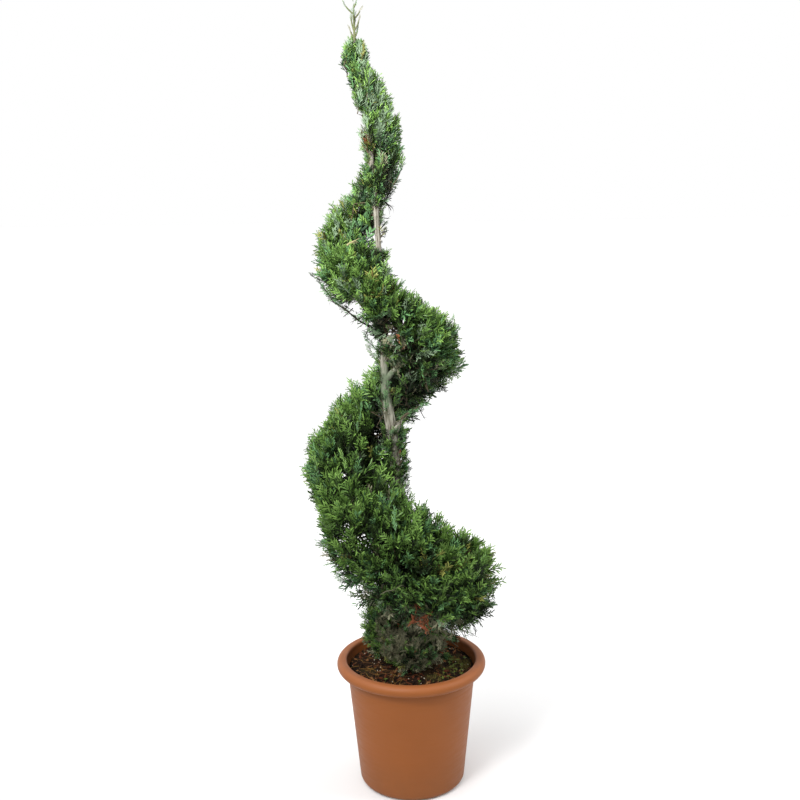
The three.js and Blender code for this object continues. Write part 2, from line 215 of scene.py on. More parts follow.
def arc(radius, height, across, upward, start, end, steps, corner=2):
    """Points of radius and height on an oval arc, squarer towards the axis where corner is above 2."""
    angle = np.radians(np.linspace(start, end, steps + 1))
    power = 2 / np.where((np.cos(angle) < 0) & (np.sin(angle) > 0), corner, 2)
    level = across * np.sign(np.cos(angle)) * np.abs(np.cos(angle)) ** power
    rise = upward * np.sign(np.sin(angle)) * np.abs(np.sin(angle)) ** power
    return np.column_stack([radius + level, height + rise])


def spin(outline):
    """Points of an outline turned round the pot's axis."""
    angle = once_round(SIDES)
    radius, height = outline[:, :1], outline[:, 1:]
    points = np.stack([radius * np.cos(angle), radius * np.sin(angle), height + 0 * angle], axis=-1)
    return points.reshape(-1, 3)


foot_arc = outer_wall(POT["rounding"]) - POT["rounding"] * np.hypot(1, slope)
wall_heights = np.concatenate([np.arange(POT["rounding"] + 2, 218, 20), np.arange(218, 260, 2)])
step = sum(STEP_DEPTH / (1 + np.exp(-STEP_SHARPNESS * (wall_heights - height))) for height in STACKING_STEPS)
wall_line = np.column_stack([outer_wall(wall_heights) - step, wall_heights])
inner_rounding = POT["rounding"] - POT["wall"]
rim_height = POT["height"] - RIM["half_height"]
pot_outline = np.vstack([
    [(0, 0)],
    arc(foot_arc, POT["rounding"], POT["rounding"], POT["rounding"], -90, -tilt, 10),
    wall_line,
    arc(RIM["radius"], rim_height, RIM["half_width"], RIM["half_height"], -158, 180, 52, RIM["inner_corner"]),
    [(outer_wall(SOIL_EDGE) - POT["wall"], SOIL_EDGE)],
    arc(foot_arc, POT["rounding"], inner_rounding, inner_rounding, -tilt, -90, 6),
    [(0, POT["wall"])],
])
print("points in the pot's outline:", len(pot_outline))

# %% [markdown]
# ### Moulded plastic
# The plastic is polypropylene, coloured right through and left matt by a lightly grained mould. Its index of
# refraction is near 1.49. Matt mouldings still have a soft sheen on a rounded rim, so the roughness is
# about 0.5. Handling scuffs it, splashed compost dulls the foot, and the colour drifts a little.

# %% Moulded plastic
def moulded_polypropylene(tree, place_on):
    """Coloured plastic with a splashed foot, a rim top worn and painted paler, level scuffs and the mould's
    grain.
    """
    cloud = add_node(tree, "TexNoise", {"Vector": place_on, "Scale": per_mm(90), "Detail": 3.0})
    colour = add_node(tree, "Mix", {
        FACTOR: cloud, COLOUR_A: "#854b1f", COLOUR_B: "#7b451c"}, data_type="RGBA")

    # Dull splashes of compost, thickest at the foot and gone a hand's width up
    height = add_node(tree, "SeparateXYZ", {"Vector": place_on}, output="Z")
    low = add_node(tree, "MapRange", {"Value": height, "From Max": 95 * MM, "To Min": 0.5, "To Max": 0.0})
    splash = add_node(tree, "TexNoise", {"Vector": place_on, "Scale": per_mm(26), "Detail": 6.0})
    dirt = add_node(tree, "Math", {0: low, 1: splash}, operation="MULTIPLY")
    dusty = add_node(tree, "Mix", {FACTOR: dirt, COLOUR_A: colour, COLOUR_B: "#5d4029"}, data_type="RGBA")

    # The top of the rim is painted paler: partly wear from sun and hands, partly a painted highlight for the
    # light on its upward face
    top = add_node(tree, "MapRange", {
        "Value": height, "From Min": 268 * MM, "From Max": 277 * MM, "To Max": 0.25})
    worn = add_node(tree, "Mix", {FACTOR: top, COLOUR_A: dusty, COLOUR_B: "#a4694a"}, data_type="RGBA")

    # Scuffs: long and level, from turning the pot on a bench
    level = add_node(tree, "Mapping", {"Vector": place_on, "Scale": (1, 1, 7)})
    scuff = add_node(tree, "TexNoise", {"Vector": level, "Scale": per_mm(35), "Detail": 5.0})
    gloss = add_node(tree, "MapRange", {
        "Value": scuff, "From Min": 0.3, "From Max": 0.7, "To Min": 0.42, "To Max": 0.56})

    # The mould's grain is a fraction of a millimetre, drawn at 1.6 mm so that it shows
    grain = add_node(tree, "TexNoise", {"Vector": place_on, "Scale": per_mm(1.6), "Detail": 2.0})
    waves = add_node(tree, "Bump", {"Height": cloud, "Strength": 0.25, "Distance": 1.5 * MM})
    bump = add_node(tree, "Bump", {"Height": grain, "Normal": waves, "Strength": 0.12, "Distance": 0.2 * MM})
    return {"Base Color": worn, "Roughness": gloss, "Normal": bump}


plastic = make_material("moulded_polypropylene", {"IOR": 1.49, "Specular IOR Level": 0.24},
                        moulded_polypropylene)

# %% [markdown]
# The foot has drainage holes. They are cut with a Boolean modifier, which is the quickest way to put a few
# clean holes in a turned shape, and the modifier is then applied so that the mesh itself has the holes.

# %% Make the pot and cut its drainage holes
DRAIN = {"count": 6, "radius": 7, "circle": 76}
pot_piece = make_piece("moulded_pot", (spin(pot_outline), grid_faces(len(pot_outline), SIDES)),
                       [plastic], ["pot"], weld=True)


def cut_drainage_holes(piece):
    """Bores the ring of holes through the foot of the pot."""
    drills = bmesh.new()
    for angle in once_round(DRAIN["count"], 0.5):
        made = bmesh.ops.create_cone(drills, cap_ends=True, segments=32, depth=4 * POT["wall"] * MM,
                                     radius1=DRAIN["radius"] * MM, radius2=DRAIN["radius"] * MM)
        middle = Vector((np.cos(angle), np.sin(angle), 0)) * DRAIN["circle"] * MM
        bmesh.ops.translate(drills, verts=made["verts"], vec=middle)
    mesh = bpy.data.meshes.new("drills")
    drills.to_mesh(mesh)
    drills.free()
    cutter = add_object("drills", mesh)
    modifier = piece.modifiers.new("holes", "BOOLEAN")
    modifier.operation = "DIFFERENCE"
    modifier.solver = "EXACT"
    modifier.object = cutter
    bpy.context.view_layer.objects.active = piece
    bpy.ops.object.modifier_apply(modifier=modifier.name)
    bpy.data.objects.remove(cutter)


cut_drainage_holes(pot_piece)
print("pot with holes:", len(pot_piece.data.polygons), "faces")

# %% [markdown]
# ## The soil
# Potting compost is shredded bark and peat: a crumbly heap, higher at the stem than at the wall. The surface
# is a turned grid whose points are moved up and down by noise. Crumbs smaller than the grid are left to
# a bump in the material.

# %% Surface of the soil
SOIL_LINE = np.array([(0, SOIL_TOP), (46, SOIL_TOP), (72, 261), (104, 258), (133.2, SOIL_EDGE + 6)])
SOIL_GAP, LEVEL_EDGE = 0.3, 12
LUMPS = ((2.6, 17), (1.7, 7), (0.8, 3))  # how high and how wide the heaps, clods and crumbs are


def soil_height(x, y):
    """Height of the crumbled surface, level at the pot's wall so that it meets it evenly."""
    radius = np.hypot(x, y)
    flat = np.column_stack([x, y, 0 * x])
    lumps = sum(high * rough(flat, wide) for high, wide in LUMPS)
    fade = np.clip((SOIL_LINE[-1, 0] - radius) / LEVEL_EDGE, 0, 1)
    return np.interp(radius, SOIL_LINE[:, 0], SOIL_LINE[:, 1]) + fade * lumps


soil_radii = np.concatenate([np.linspace(132.9, 60, 40), np.linspace(58, 2, 22), [0]])
soil_floor = POT["wall"] + SOIL_GAP
soil_outline = np.vstack([
    [(0, soil_floor)],
    arc(foot_arc, POT["rounding"], inner_rounding - SOIL_GAP, inner_rounding - SOIL_GAP, -90, -tilt, 4),
    np.column_stack([soil_radii, np.interp(soil_radii, SOIL_LINE[:, 0], SOIL_LINE[:, 1])]),
])
soil_points = spin(soil_outline)
on_top = np.arange(len(soil_points)) >= (len(soil_outline) - len(soil_radii)) * SIDES
soil_points[on_top, 2] = soil_height(soil_points[on_top, 0], soil_points[on_top, 1])

# %% [markdown]
# ### Bark compost
# Wet compost is nearly black where it is fine and red-brown where bark shows. It has no shine of its own,
# so the roughness is high and most of the look is bump: crumbs of 3 mm over lumps of 11 mm.

# %% Bark compost
def shredded_bark_compost(tree, place_on):
    """Crumbs and lumps, nearly black where they are fine."""
    crumbs = add_node(tree, "TexVoronoi", {"Vector": place_on, "Scale": per_mm(3.2)})
    lumps = add_node(tree, "TexNoise", {"Vector": place_on, "Scale": per_mm(11), "Detail": 6.0})
    patch = add_node(tree, "MapRange", {"Value": lumps, "From Min": 0.42, "From Max": 0.66})
    colour = add_node(tree, "Mix", {
        FACTOR: patch, COLOUR_A: "#100a05", COLOUR_B: "#2c1a0d"}, data_type="RGBA")

    # A film of green and brown growth lies over the damp patches
    damp = add_node(tree, "TexNoise", {"Vector": place_on, "Scale": per_mm(48), "Detail": 4.0})
    film = add_node(tree, "MapRange", {"Value": damp, "From Min": 0.56, "From Max": 0.7, "To Max": 0.4})
    tinted = add_node(tree, "Mix", {FACTOR: film, COLOUR_A: colour, COLOUR_B: "#4a4322"}, data_type="RGBA")
    rounded = add_node(tree, "Bump", {"Height": lumps, "Strength": 0.6, "Distance": 3 * MM})
    bump = add_node(tree, "Bump", {
        "Height": crumbs, "Normal": rounded, "Strength": 0.7, "Distance": 1.5 * MM})
    return {"Base Color": tinted, "Normal": bump}


compost = make_material("shredded_bark_compost", {"Roughness": 0.92, "Specular IOR Level": 0.1},
                        shredded_bark_compost)
make_piece("compost", (soil_points, grid_faces(len(soil_outline), SIDES)), [compost], ["soil"],
           weld=True)

# %% [markdown]
# ## What lies on the soil
# A bought compost carries bark chips, white grains of expanded perlite, and soon moss and fallen scraps of
# foliage. They are real small meshes, because their edges and shadows are what the eye reads as soil.
# Each kind is scattered from a seeded generator, so that every run gives the same heap.

# %% Helpers for scattering
GRAIN_SHADE = 0.62


def scatter(count, inner, outer, rng):
    """Places on the soil between two radii, even by area, each with its height."""
    radius = np.sqrt(rng.uniform(inner ** 2, outer ** 2, count))
    angle = rng.uniform(0, 2 * np.pi, count)
    x, y = radius * np.cos(angle), radius * np.sin(angle)
    return np.column_stack([x, y, soil_height(x, y)])


def tilted_axes(count, most, rng):
    """For each thing that lies down: its long axis, its cross axis and its upright, tilted at random."""
    heading = rng.uniform(0, 2 * np.pi, count)
    lean_by = rng.uniform(-most, most, (count, 2))
    along = unit(np.column_stack([np.cos(heading), np.sin(heading), lean_by[:, 0]]))
    across = unit(np.column_stack([-np.sin(heading), np.cos(heading), lean_by[:, 1]]))
    return along, across, np.cross(along, across)


def plain_material(name, hex_colour, roughness, grain_mm):
    """A dry natural surface: one colour, broken up by darker grain and a fine bump."""
    def grained(tree, place_on):
        grain = add_node(tree, "TexNoise", {"Vector": place_on, "Scale": per_mm(grain_mm), "Detail": 4.0})
        base = linear(hex_colour)
        darker = [GRAIN_SHADE * channel for channel in base[:3]] + [1.0]
        colour = add_node(tree, "Mix", {FACTOR: grain, COLOUR_A: darker, COLOUR_B: base}, data_type="RGBA")
        bump = add_node(tree, "Bump", {"Height": grain, "Strength": 0.4, "Distance": 0.4 * MM})
        return {"Base Color": colour, "Normal": bump}
    return make_material(name, {"Roughness": roughness, "Specular IOR Level": 0.16}, grained)


# %% Chips and grains
BOX_CORNERS = np.array([(x, y, z) for x in (-1, 1) for y in (-1, 1) for z in (-1, 1)], dtype=float)
BOX_FACES = np.array([(0, 1, 3, 2), (4, 6, 7, 5), (0, 4, 5, 1), (2, 3, 7, 6), (0, 2, 6, 4), (1, 5, 7, 3)])


def broken_bits(places, shortest, longest, tilt_by, rng):
    """Angular bits with eight uneven corners, of half sizes between two triples."""
    count = len(places)
    along, across, upright = tilted_axes(count, tilt_by, rng)
    half = rng.uniform(shortest, longest, (count, 3))
    corner = BOX_CORNERS * rng.uniform(0.5, 1.0, (count, 8, 3)) * half[:, None]
    points = (places[:, None] + corner[..., :1] * along[:, None] + corner[..., 1:2] * across[:, None]
              + corner[..., 2:] * upright[:, None] + half[:, None, 2:] * (0, 0, 0.5))
    faces = BOX_FACES + 8 * np.arange(count)[:, None, None]
    return points.reshape(-1, 3), faces.reshape(-1, 4)


rng = np.random.default_rng(11)
CHIP_COUNT, PERLITE_COUNT, NEAR_WALL = 640, 60, 129
chip_barks = [plain_material("dark_bark_chip", "#23160d", 0.9, 4),
              plain_material("red_bark_chip", "#572d18", 0.85, 4),
              plain_material("pale_bark_chip", "#7f5734", 0.85, 3)]
chips = broken_bits(scatter(CHIP_COUNT, 20, NEAR_WALL, rng), (2, 1.2, 0.5), (9, 3.2, 1.5), 0.5, rng)
chip_kind = np.repeat(rng.choice(3, CHIP_COUNT, p=[0.56, 0.32, 0.12]), len(BOX_FACES))
make_piece("bark_chips", chips, chip_barks, kinds=chip_kind, weld=True).data.shade_flat()
perlite = plain_material("expanded_perlite", "#c6bfab", 0.95, 1)
grains = broken_bits(scatter(PERLITE_COUNT, 30, NEAR_WALL, rng), (0.8, 0.8, 0.7), (1.9, 1.7, 1.4), 0.6, rng)
make_piece("perlite_grains", grains, [perlite], weld=True).data.shade_flat()

# %% [markdown]
# ## The ribbon's rule
# The crown follows the same rule as the CAD masses. A table gives, at each turn round the trunk, the height
# of the ribbon's middle, its reach out from the trunk and its half height. A smooth curve through the
# table never overshoots, so the clipped surface has no bulge that the table doesn't ask for.

# %% Curves through the tables
TRUNK = np.array([  # height above the soil, sideways lean, radius
    (0, 0, 17), (500, -34, 12), (612, -47, 9), (702, -49, 7), (926, -58, 5.5), (1163, -77, 4.6),
    (1288, -96, 2.4), (1361, -97, 1)])
TRUNK_TIP, LEADER_TOP = 1288, 1361
RIBBON = np.array([  # turn, middle height above the soil, reach, half height
    (-1.08, 26, 70, 25), (-0.75, 57, 96, 55), (-0.5, 76, 106, 74), (0, 177, 194, 128), (0.25, 266, 208, 162),
    (0.5, 402, 200, 154), (1, 680, 160, 90), (1.25, 784, 148, 98), (1.5, 877, 128, 78), (2, 1113, 58, 110),
    (2.5, 1222, 29, 76), (2.92, 1252, 30, 36)])
FIRST_TURN, MASS_COUNT, MASS_TURN, TIP_REACH = -1.08, 16, 0.25, 7
ROUNDNESS, UNDER_ROUNDNESS, TOP_ROUNDNESS = 2.6, 2.35, 1.4
TOP_TURNS = (2.15, 2.5)
SHEARS_WIDTH, SHEARS_WEIGHT = 36, 150
SHEARED = (  # a spot's sideways place, depth and height above the soil, and how much deeper it is cut
    (-105, -14, 1164, 26), (-169, -40, 961, 14), (-177, -60, 915, 12), (36, -80, 797, 14), (7, -10, 494, -10),
    (-78, -18, 1095, -12), (30, -90, 812, 4), (-12, -142, 742, 20), (-31, 49, 954, 20), (-48, 30, 915, 16),
    (-110, -88, 749, 20), (-225, -27, 386, 22), (-200, -55, 330, 12), (-170, -110, 260, 8),
    (-129, -132, 223, -8), (-192, 62, 533, 20), (-125, 76, 597, 14), (77, 79, 560, 12), (45, 88, 519, 24),
    (18, -118, 382, -6), (32, -74, 369, -4), (112, -53, 308, -8), (171, -58, 212, 6), (182, -50, 268, -10),
    (142, -44, 94, -4), (24, -112, 30, -12), (183, -40, 215, -12), (169, -60, 126, 10), (-106, -90, 108, -10),
    (-110, -30, 1007, -10), (-198, -90, 340, 10))


def through(x, y):
    """A smooth curve through points that never overshoots between two of them."""
    rise = np.diff(y) / np.diff(x)
    before, after = rise[:-1], rise[1:]
    same_way = before * after > 0
    inner = np.where(same_way, 2 * before * after / np.where(same_way, before + after, 1), 0)
    tangent = np.concatenate([rise[:1], inner, rise[-1:]])

    def curve(value):
        at = np.clip(value, x[0], x[-1])
        i = np.clip(np.searchsorted(x, at, side="right") - 1, 0, len(x) - 2)
        span = x[i + 1] - x[i]
        t = (at - x[i]) / span
        low = y[i] * (1 + 2 * t) + span * tangent[i] * t
        high = y[i + 1] * (3 - 2 * t) + span * tangent[i + 1] * (t - 1)
        return low * (1 - t) ** 2 + high * t ** 2
    return curve


lean = through(TRUNK[:, 0], TRUNK[:, 1])
trunk_radius = through(TRUNK[:, 0], TRUNK[:, 2])
ribbon_height = through(RIBBON[:, 0], RIBBON[:, 1])
ribbon_reach = through(RIBBON[:, 0], RIBBON[:, 2])
ribbon_half = through(RIBBON[:, 0], RIBBON[:, 3])
FLARE = {"spread": 13, "fade": 26, "roots": 4, "hump": 0.2}


def on_axis(height):
    """The point on the trunk's middle line at a height above the soil."""
    return np.stack([lean(height), 0 * height, height], axis=-1)


def flare_radius(height):
    """The trunk's radius with its root flare."""
    return trunk_radius(height) + FLARE["spread"] * np.exp(-height / FLARE["fade"])


def place(turn, out, up):
    """A point so far out and up from the ribbon's middle line. Heights start at the soil."""
    height = ribbon_height(turn) + up
    azimuth = -2 * np.pi * turn
    return np.stack([lean(height) + out * np.cos(azimuth), out * np.sin(azimuth), height], axis=-1)


def roundness(turn, up):
    """How square the ribbon's section is: fuller above its middle line than below, and pointed at the top."""
    return np.where(up > 0, np.interp(turn, TOP_TURNS, (ROUNDNESS, TOP_ROUNDNESS)), UNDER_ROUNDNESS)


def in_section(turn, share, angle):
    """A point of the ribbon's rounded section: angle 0 is the rim, a quarter turn the top by the trunk."""
    power = 2 / roundness(turn, angle)
    out = share * ribbon_reach(turn) * np.abs(np.cos(angle)) ** power
    up = share * ribbon_half(turn) * np.sign(angle) * np.abs(np.sin(angle)) ** power
    return out, up


def uneven(points):
    """How much deeper than the rule the shears went near a point, in mm. Below 0 they left it longer."""
    depth = 0
    for *spot, cut in SHEARED:
        depth = depth + cut * np.exp(-((points - np.array(spot)) ** 2).sum(axis=-1) / (2 * SHEARS_WIDTH ** 2))
    return depth


def depth_in_ribbon(points, middle):
    """0 at the ribbon's middle line and 1 where tips may just reach, by each point's own turn."""
    x, y = points[..., 0] - lean(points[..., 2]), points[..., 1]
    raw = -np.arctan2(y, x) / (2 * np.pi)
    turn = raw + np.round(middle - raw)
    out = np.hypot(x, y) / (ribbon_reach(turn) + TIP_REACH)
    up = (points[..., 2] - ribbon_height(turn)) / (ribbon_half(turn) + TIP_REACH)
    power = roundness(turn, up)
    return (out ** power + np.abs(up) ** power) ** (1 / power) * (1 + uneven(points) / SHEARS_WEIGHT)


def on_soil(shape):
    """A shape whose heights start at the soil, set down on it."""
    return shape[0] + SOIL_TOP * UP, shape[1]


print("ribbon's turns:", FIRST_TURN, "to", FIRST_TURN + MASS_COUNT * MASS_TURN)

# %% [markdown]
# ## Limbs
# A bough, a twig, a straw and a tip of moss are all the same shape at different sizes: rings of corners
# along a path that shrink to a tip. One function makes them all. The number of sides is chosen by how
# large the limb looks, from fourteen on a bough to three on a tip of moss two millimetres thick.

# %% A tapered limb
def limb(path, radii, sides):
    """Triangles of a limb: a ring round each point of the path but the last, which is its tip."""
    path = np.asarray(path, dtype=float)
    along = unit(np.gradient(path, axis=0))
    chord = unit(path[-1] - path[0])
    guide = (0.0, 1.0, 0.0) if abs(chord[2]) > 0.9 else (0.0, 0.0, 1.0)
    side = unit(np.cross(guide, along))
    other = np.cross(along, side)
    angle = once_round(sides)
    ring = np.cos(angle)[:, None] * side[:-1, None] + np.sin(angle)[:, None] * other[:-1, None]
    rings = path[:-1, None] + np.asarray(radii)[:len(path) - 1, None, None] * ring
    quads = grid_faces(len(path) - 1, sides)
    last = (len(path) - 2) * sides + np.arange(sides)
    tip = np.column_stack([last, np.roll(last, -1), np.full(sides, (len(path) - 1) * sides)])
    return np.vstack([rings.reshape(-1, 3), path[-1:]]), np.vstack([halved(quads), tip])


def bend(start, middle, end, steps):
    """Points of a curve that leaves the start towards the middle and arrives at the end from it."""
    t = np.linspace(0, 1, steps + 1)[:, None]
    return (1 - t) ** 2 * start + 2 * t * (1 - t) * middle + t ** 2 * end


# %% [markdown]
# ### The trunk's bark
# Old bark of this kind is grey-brown and peels in narrow upright strips. The strips are in the mesh: noise
# that is stretched along the trunk pushes each ring's corners in and out by about a millimetre. The foot
# spreads into four root humps, and the stubs of cut twigs stand out all the way up.

# %% Trunk
TRUNK_SIDES = 44
BARK_DEPTH, FULL_AT_RADIUS, DEPTH_SHARES = 1.1, 12, (0.25, 1.2)
STRIP = {"bumps": 2.6, "long": 38, "depth": 1.6}
CRUMPLE = {"bumps": 5, "long": 9, "depth": 0.35}
STUBS = {"count": 60, "lowest": 40, "below_tip": 90, "sides": 7, "sunk": 0.5, "rise": (0.3, 0.9),
         "length": (3, 8), "thinnest": 0.9, "thicker": 0.24, "widths": (1.5, 1.05, 0.8)}
heights = np.concatenate([np.arange(0.3, 60, 2.5), np.arange(60, TRUNK_TIP, 5.0), [TRUNK_TIP]])
level, turned = np.meshgrid(heights, once_round(TRUNK_SIDES), indexing="ij")
hump = 1 + FLARE["hump"] * np.cos(FLARE["roots"] * turned) * np.exp(-level / FLARE["fade"])
radius = flare_radius(level) * hump


def bark_noise(kind):
    """Noise all over the trunk, with bumps as long as their kind says, in millimetres."""
    across = kind["bumps"] * np.stack([np.cos(turned), np.sin(turned)], axis=-1)
    spots = np.concatenate([across, level[..., None] / kind["long"]], axis=-1)
    return rough(spots.reshape(-1, 3), 1.0).reshape(level.shape)


relief = 0.5 - STRIP["depth"] * np.abs(bark_noise(STRIP)) + CRUMPLE["depth"] * bark_noise(CRUMPLE)
radius = radius + BARK_DEPTH * np.clip(radius / FULL_AT_RADIUS, *DEPTH_SHARES) * relief
trunk_points = np.stack([lean(level) + radius * np.cos(turned), radius * np.sin(turned), level], axis=-1)
ends = on_axis(heights[[0, -1]])
quads = grid_faces(len(heights), TRUNK_SIDES)
ring = np.arange(TRUNK_SIDES)
top_ring = ring + (len(heights) - 1) * TRUNK_SIDES
centre = trunk_points.size // 3
caps = np.vstack([np.column_stack([np.roll(ring, -1), ring, 0 * ring + centre]),
                  np.column_stack([top_ring, np.roll(top_ring, -1), 0 * ring + centre + 1])])
trunk_body = (np.vstack([trunk_points.reshape(-1, 3), ends]), np.vstack([halved(quads), caps]))


def cut_stubs(rng):
    """Short blunt stubs where twigs were cut back to the trunk."""
    stubs = []
    for height in np.sort(rng.uniform(STUBS["lowest"], TRUNK_TIP - STUBS["below_tip"], STUBS["count"])):
        azimuth = rng.uniform(0, 2 * np.pi)
        outward = unit(np.array([np.cos(azimuth), np.sin(azimuth), rng.uniform(*STUBS["rise"])]))
        foot = on_axis(height) + STUBS["sunk"] * trunk_radius(height) * outward
        length = trunk_radius(height) * STUBS["sunk"] + rng.uniform(*STUBS["length"])
        width = rng.uniform(STUBS["thinnest"], STUBS["thicker"] * trunk_radius(height) + 1)
        path = [foot, foot + 0.5 * length * outward, foot + 0.97 * length * outward, foot + length * outward]
        stubs.append(limb(path, width * np.array(STUBS["widths"]), STUBS["sides"]))
    return stubs


trunk = join([trunk_body] + cut_stubs(np.random.default_rng(5)))

# %% Peeling bark
ALGAE_SHARES = ((1080, 1180, 1.0, 0.15), (805, 845, 0.3, 1.0))  # two heights, and the share at each


def peeling_bark(tree, place_on):
    """Weathered grey strips, brown in the furrows, with green algae where the crown keeps them damp."""
    upright = add_node(tree, "Mapping", {"Vector": place_on, "Scale": (1, 1, 0.12)})
    strip = add_node(tree, "TexNoise", {
        "Vector": upright, "Scale": per_mm(5), "Detail": 5.0, "Roughness": 0.65})
    worn = add_node(tree, "MapRange", {"Value": strip, "From Min": 0.38, "From Max": 0.6})
    grey = add_node(tree, "Mix", {FACTOR: worn, COLOUR_A: "#3a3026", COLOUR_B: "#8a877c"}, data_type="RGBA")
    patch = add_node(tree, "TexNoise", {"Vector": place_on, "Scale": per_mm(42), "Detail": 3.0})
    algae = add_node(tree, "MapRange", {"Value": patch, "From Min": 0.35, "From Max": 0.6, "To Max": 0.88})
    height = add_node(tree, "SeparateXYZ", {"Vector": place_on}, output="Z")
    for low, high, share_low, share_high in ALGAE_SHARES:
        shelter = add_node(tree, "MapRange", {
            "Value": height, "From Min": low * MM, "From Max": high * MM,
            "To Min": share_low, "To Max": share_high})
        algae = add_node(tree, "Math", {0: algae, 1: shelter}, operation="MULTIPLY")
    colour = add_node(tree, "Mix", {FACTOR: algae, COLOUR_A: grey, COLOUR_B: "#46543d"}, data_type="RGBA")
    bump = add_node(tree, "Bump", {"Height": strip, "Strength": 0.55, "Distance": 0.8 * MM})
    return {"Base Color": colour, "Normal": bump}


bark = make_material("peeling_bark", {"Roughness": 0.88, "Specular IOR Level": 0.3}, peeling_bark)
make_piece("trunk_bark", on_soil(trunk), [bark], ["trunk"])

# %% [markdown]
# ## Boughs
# Each mass is carried by one bough that climbs out of the trunk. It is thickest in the collar where it
# leaves the trunk, and past the collar it tapers evenly to where it enters the mass. The curve is the
# CAD's, with enough rings to carry the bark's relief.

# %% Boughs
BOUGH = {"reach_share": 0.29, "shortest": 3, "drop": 0.3, "climb": 1.15, "lowest_foot": 14, "least_rise": 8,
         "bend_out": 0.62, "bend_up": 0.4, "radius_share": 0.042, "least_radius": 1.3, "taper": 0.38,
         "collar": 0.5, "fade": 8, "relief": 0.16, "relief_size": 4.5, "rings": 18, "sides": 14}
CORE_INNER, TRUNK_GAP = 0.2, 4  # where a mass begins: a share of its reach, and so far off the trunk in mm


def bough_path(turn, steps):
    """The curve of a mass's bough, and its radius along it."""
    reach = ribbon_reach(turn)
    inner = max(CORE_INNER * reach, trunk_radius(ribbon_height(turn)) + TRUNK_GAP)
    out = max(BOUGH["reach_share"] * reach, inner + BOUGH["shortest"])
    tip = place(turn, out, -BOUGH["drop"] * ribbon_half(turn))
    foot = max(tip[2] - BOUGH["climb"] * out, BOUGH["lowest_foot"])
    tip[2] = max(tip[2], foot + BOUGH["least_rise"])
    turning = foot + BOUGH["bend_up"] * (tip[2] - foot)
    middle = place(turn, BOUGH["bend_out"] * out, turning - ribbon_height(turn))
    t = np.linspace(0, 1, steps + 1)
    full = max(BOUGH["radius_share"] * reach, BOUGH["least_radius"])
    radii = full * (1 - BOUGH["taper"] * t + BOUGH["collar"] * np.exp(-BOUGH["fade"] * t))
    return bend(on_axis(foot), middle, tip, steps), radii


def barked(path, radii, sides):
    """A limb whose rings are roughened like the trunk's."""
    points, faces = limb(path, radii, sides)
    axis = np.repeat(path, sides, axis=0)[:len(points) - 1]
    outward = points[:-1] - axis
    depth = BOUGH["relief"] * rough(points[:-1], BOUGH["relief_size"])[:, None]
    points[:-1] = axis + outward * (1 + depth)
    return points, faces


mass_middles = FIRST_TURN + MASS_TURN * (np.arange(MASS_COUNT) + 0.5)
bough_paths = [bough_path(turn, BOUGH["rings"]) for turn in mass_middles]
bough_tips = [(path[-1], radii[-1]) for path, radii in bough_paths]
boughs = join([barked(path, radii, BOUGH["sides"]) for path, radii in bough_paths])
bough_names = [f"bough_{i + 1:02d}" for i in range(MASS_COUNT)]
make_piece("bough_bark", on_soil(boughs), [bark], bough_names)

# %% [markdown]
# ## Sprays
# The foliage of this conifer is made of flat, feathery sprays a few centimetres long. Each has a stem with
# green branchlets to either side, and those fork again. A branchlet is as wide as its neighbours from root
# to blunt tip, so a flat strip of three faces draws it. Twelve sprays are drawn by a seeded rule, in units
# of their own length, and every spray on the plant is a turned and scaled copy of one of them. Deep in
# the crown only their mass shows, so four plain ones without forks serve there.

# %% Drawing the sprays
FINE_SPRAYS, PLAIN_SPRAYS = 12, 4
SIDE_BRANCHLETS, LAST_FORK = 9, 0.7
STEM_HALF_WIDTH, HALF_WIDTH, PLAIN_HALF_WIDTH = 0.024, 0.026, 0.04
WIDEST_AT, YOUNG_FROM, FORK_SHARE = 0.78, 0.45, 0.6
FIRST_BRANCHLET, BRANCHLET_SPAN, LONGEST, SHORTER_AT_TIP = 0.1, 0.84, 0.5, 0.27
BRANCHLET_ANGLES, FORK_ANGLES = (24, 42), (24, 38)


def branchlet(root, end, half_width, turned):
    """A flat green branchlet of even width with a blunt tip, turned about its own length."""
    along = unit(end - root)
    side = unit(np.cross(along, (0.0, 0.0, 1.0)))
    across = half_width * (np.cos(turned) * side + np.sin(turned) * np.cross(along, side))
    shoulder = root + WIDEST_AT * (end - root)
    points = [root - 0.7 * across, root + 0.7 * across, shoulder + across, shoulder - across, end]
    return np.array(points), np.array([(0, 1, 2), (0, 2, 3), (3, 2, 4)])


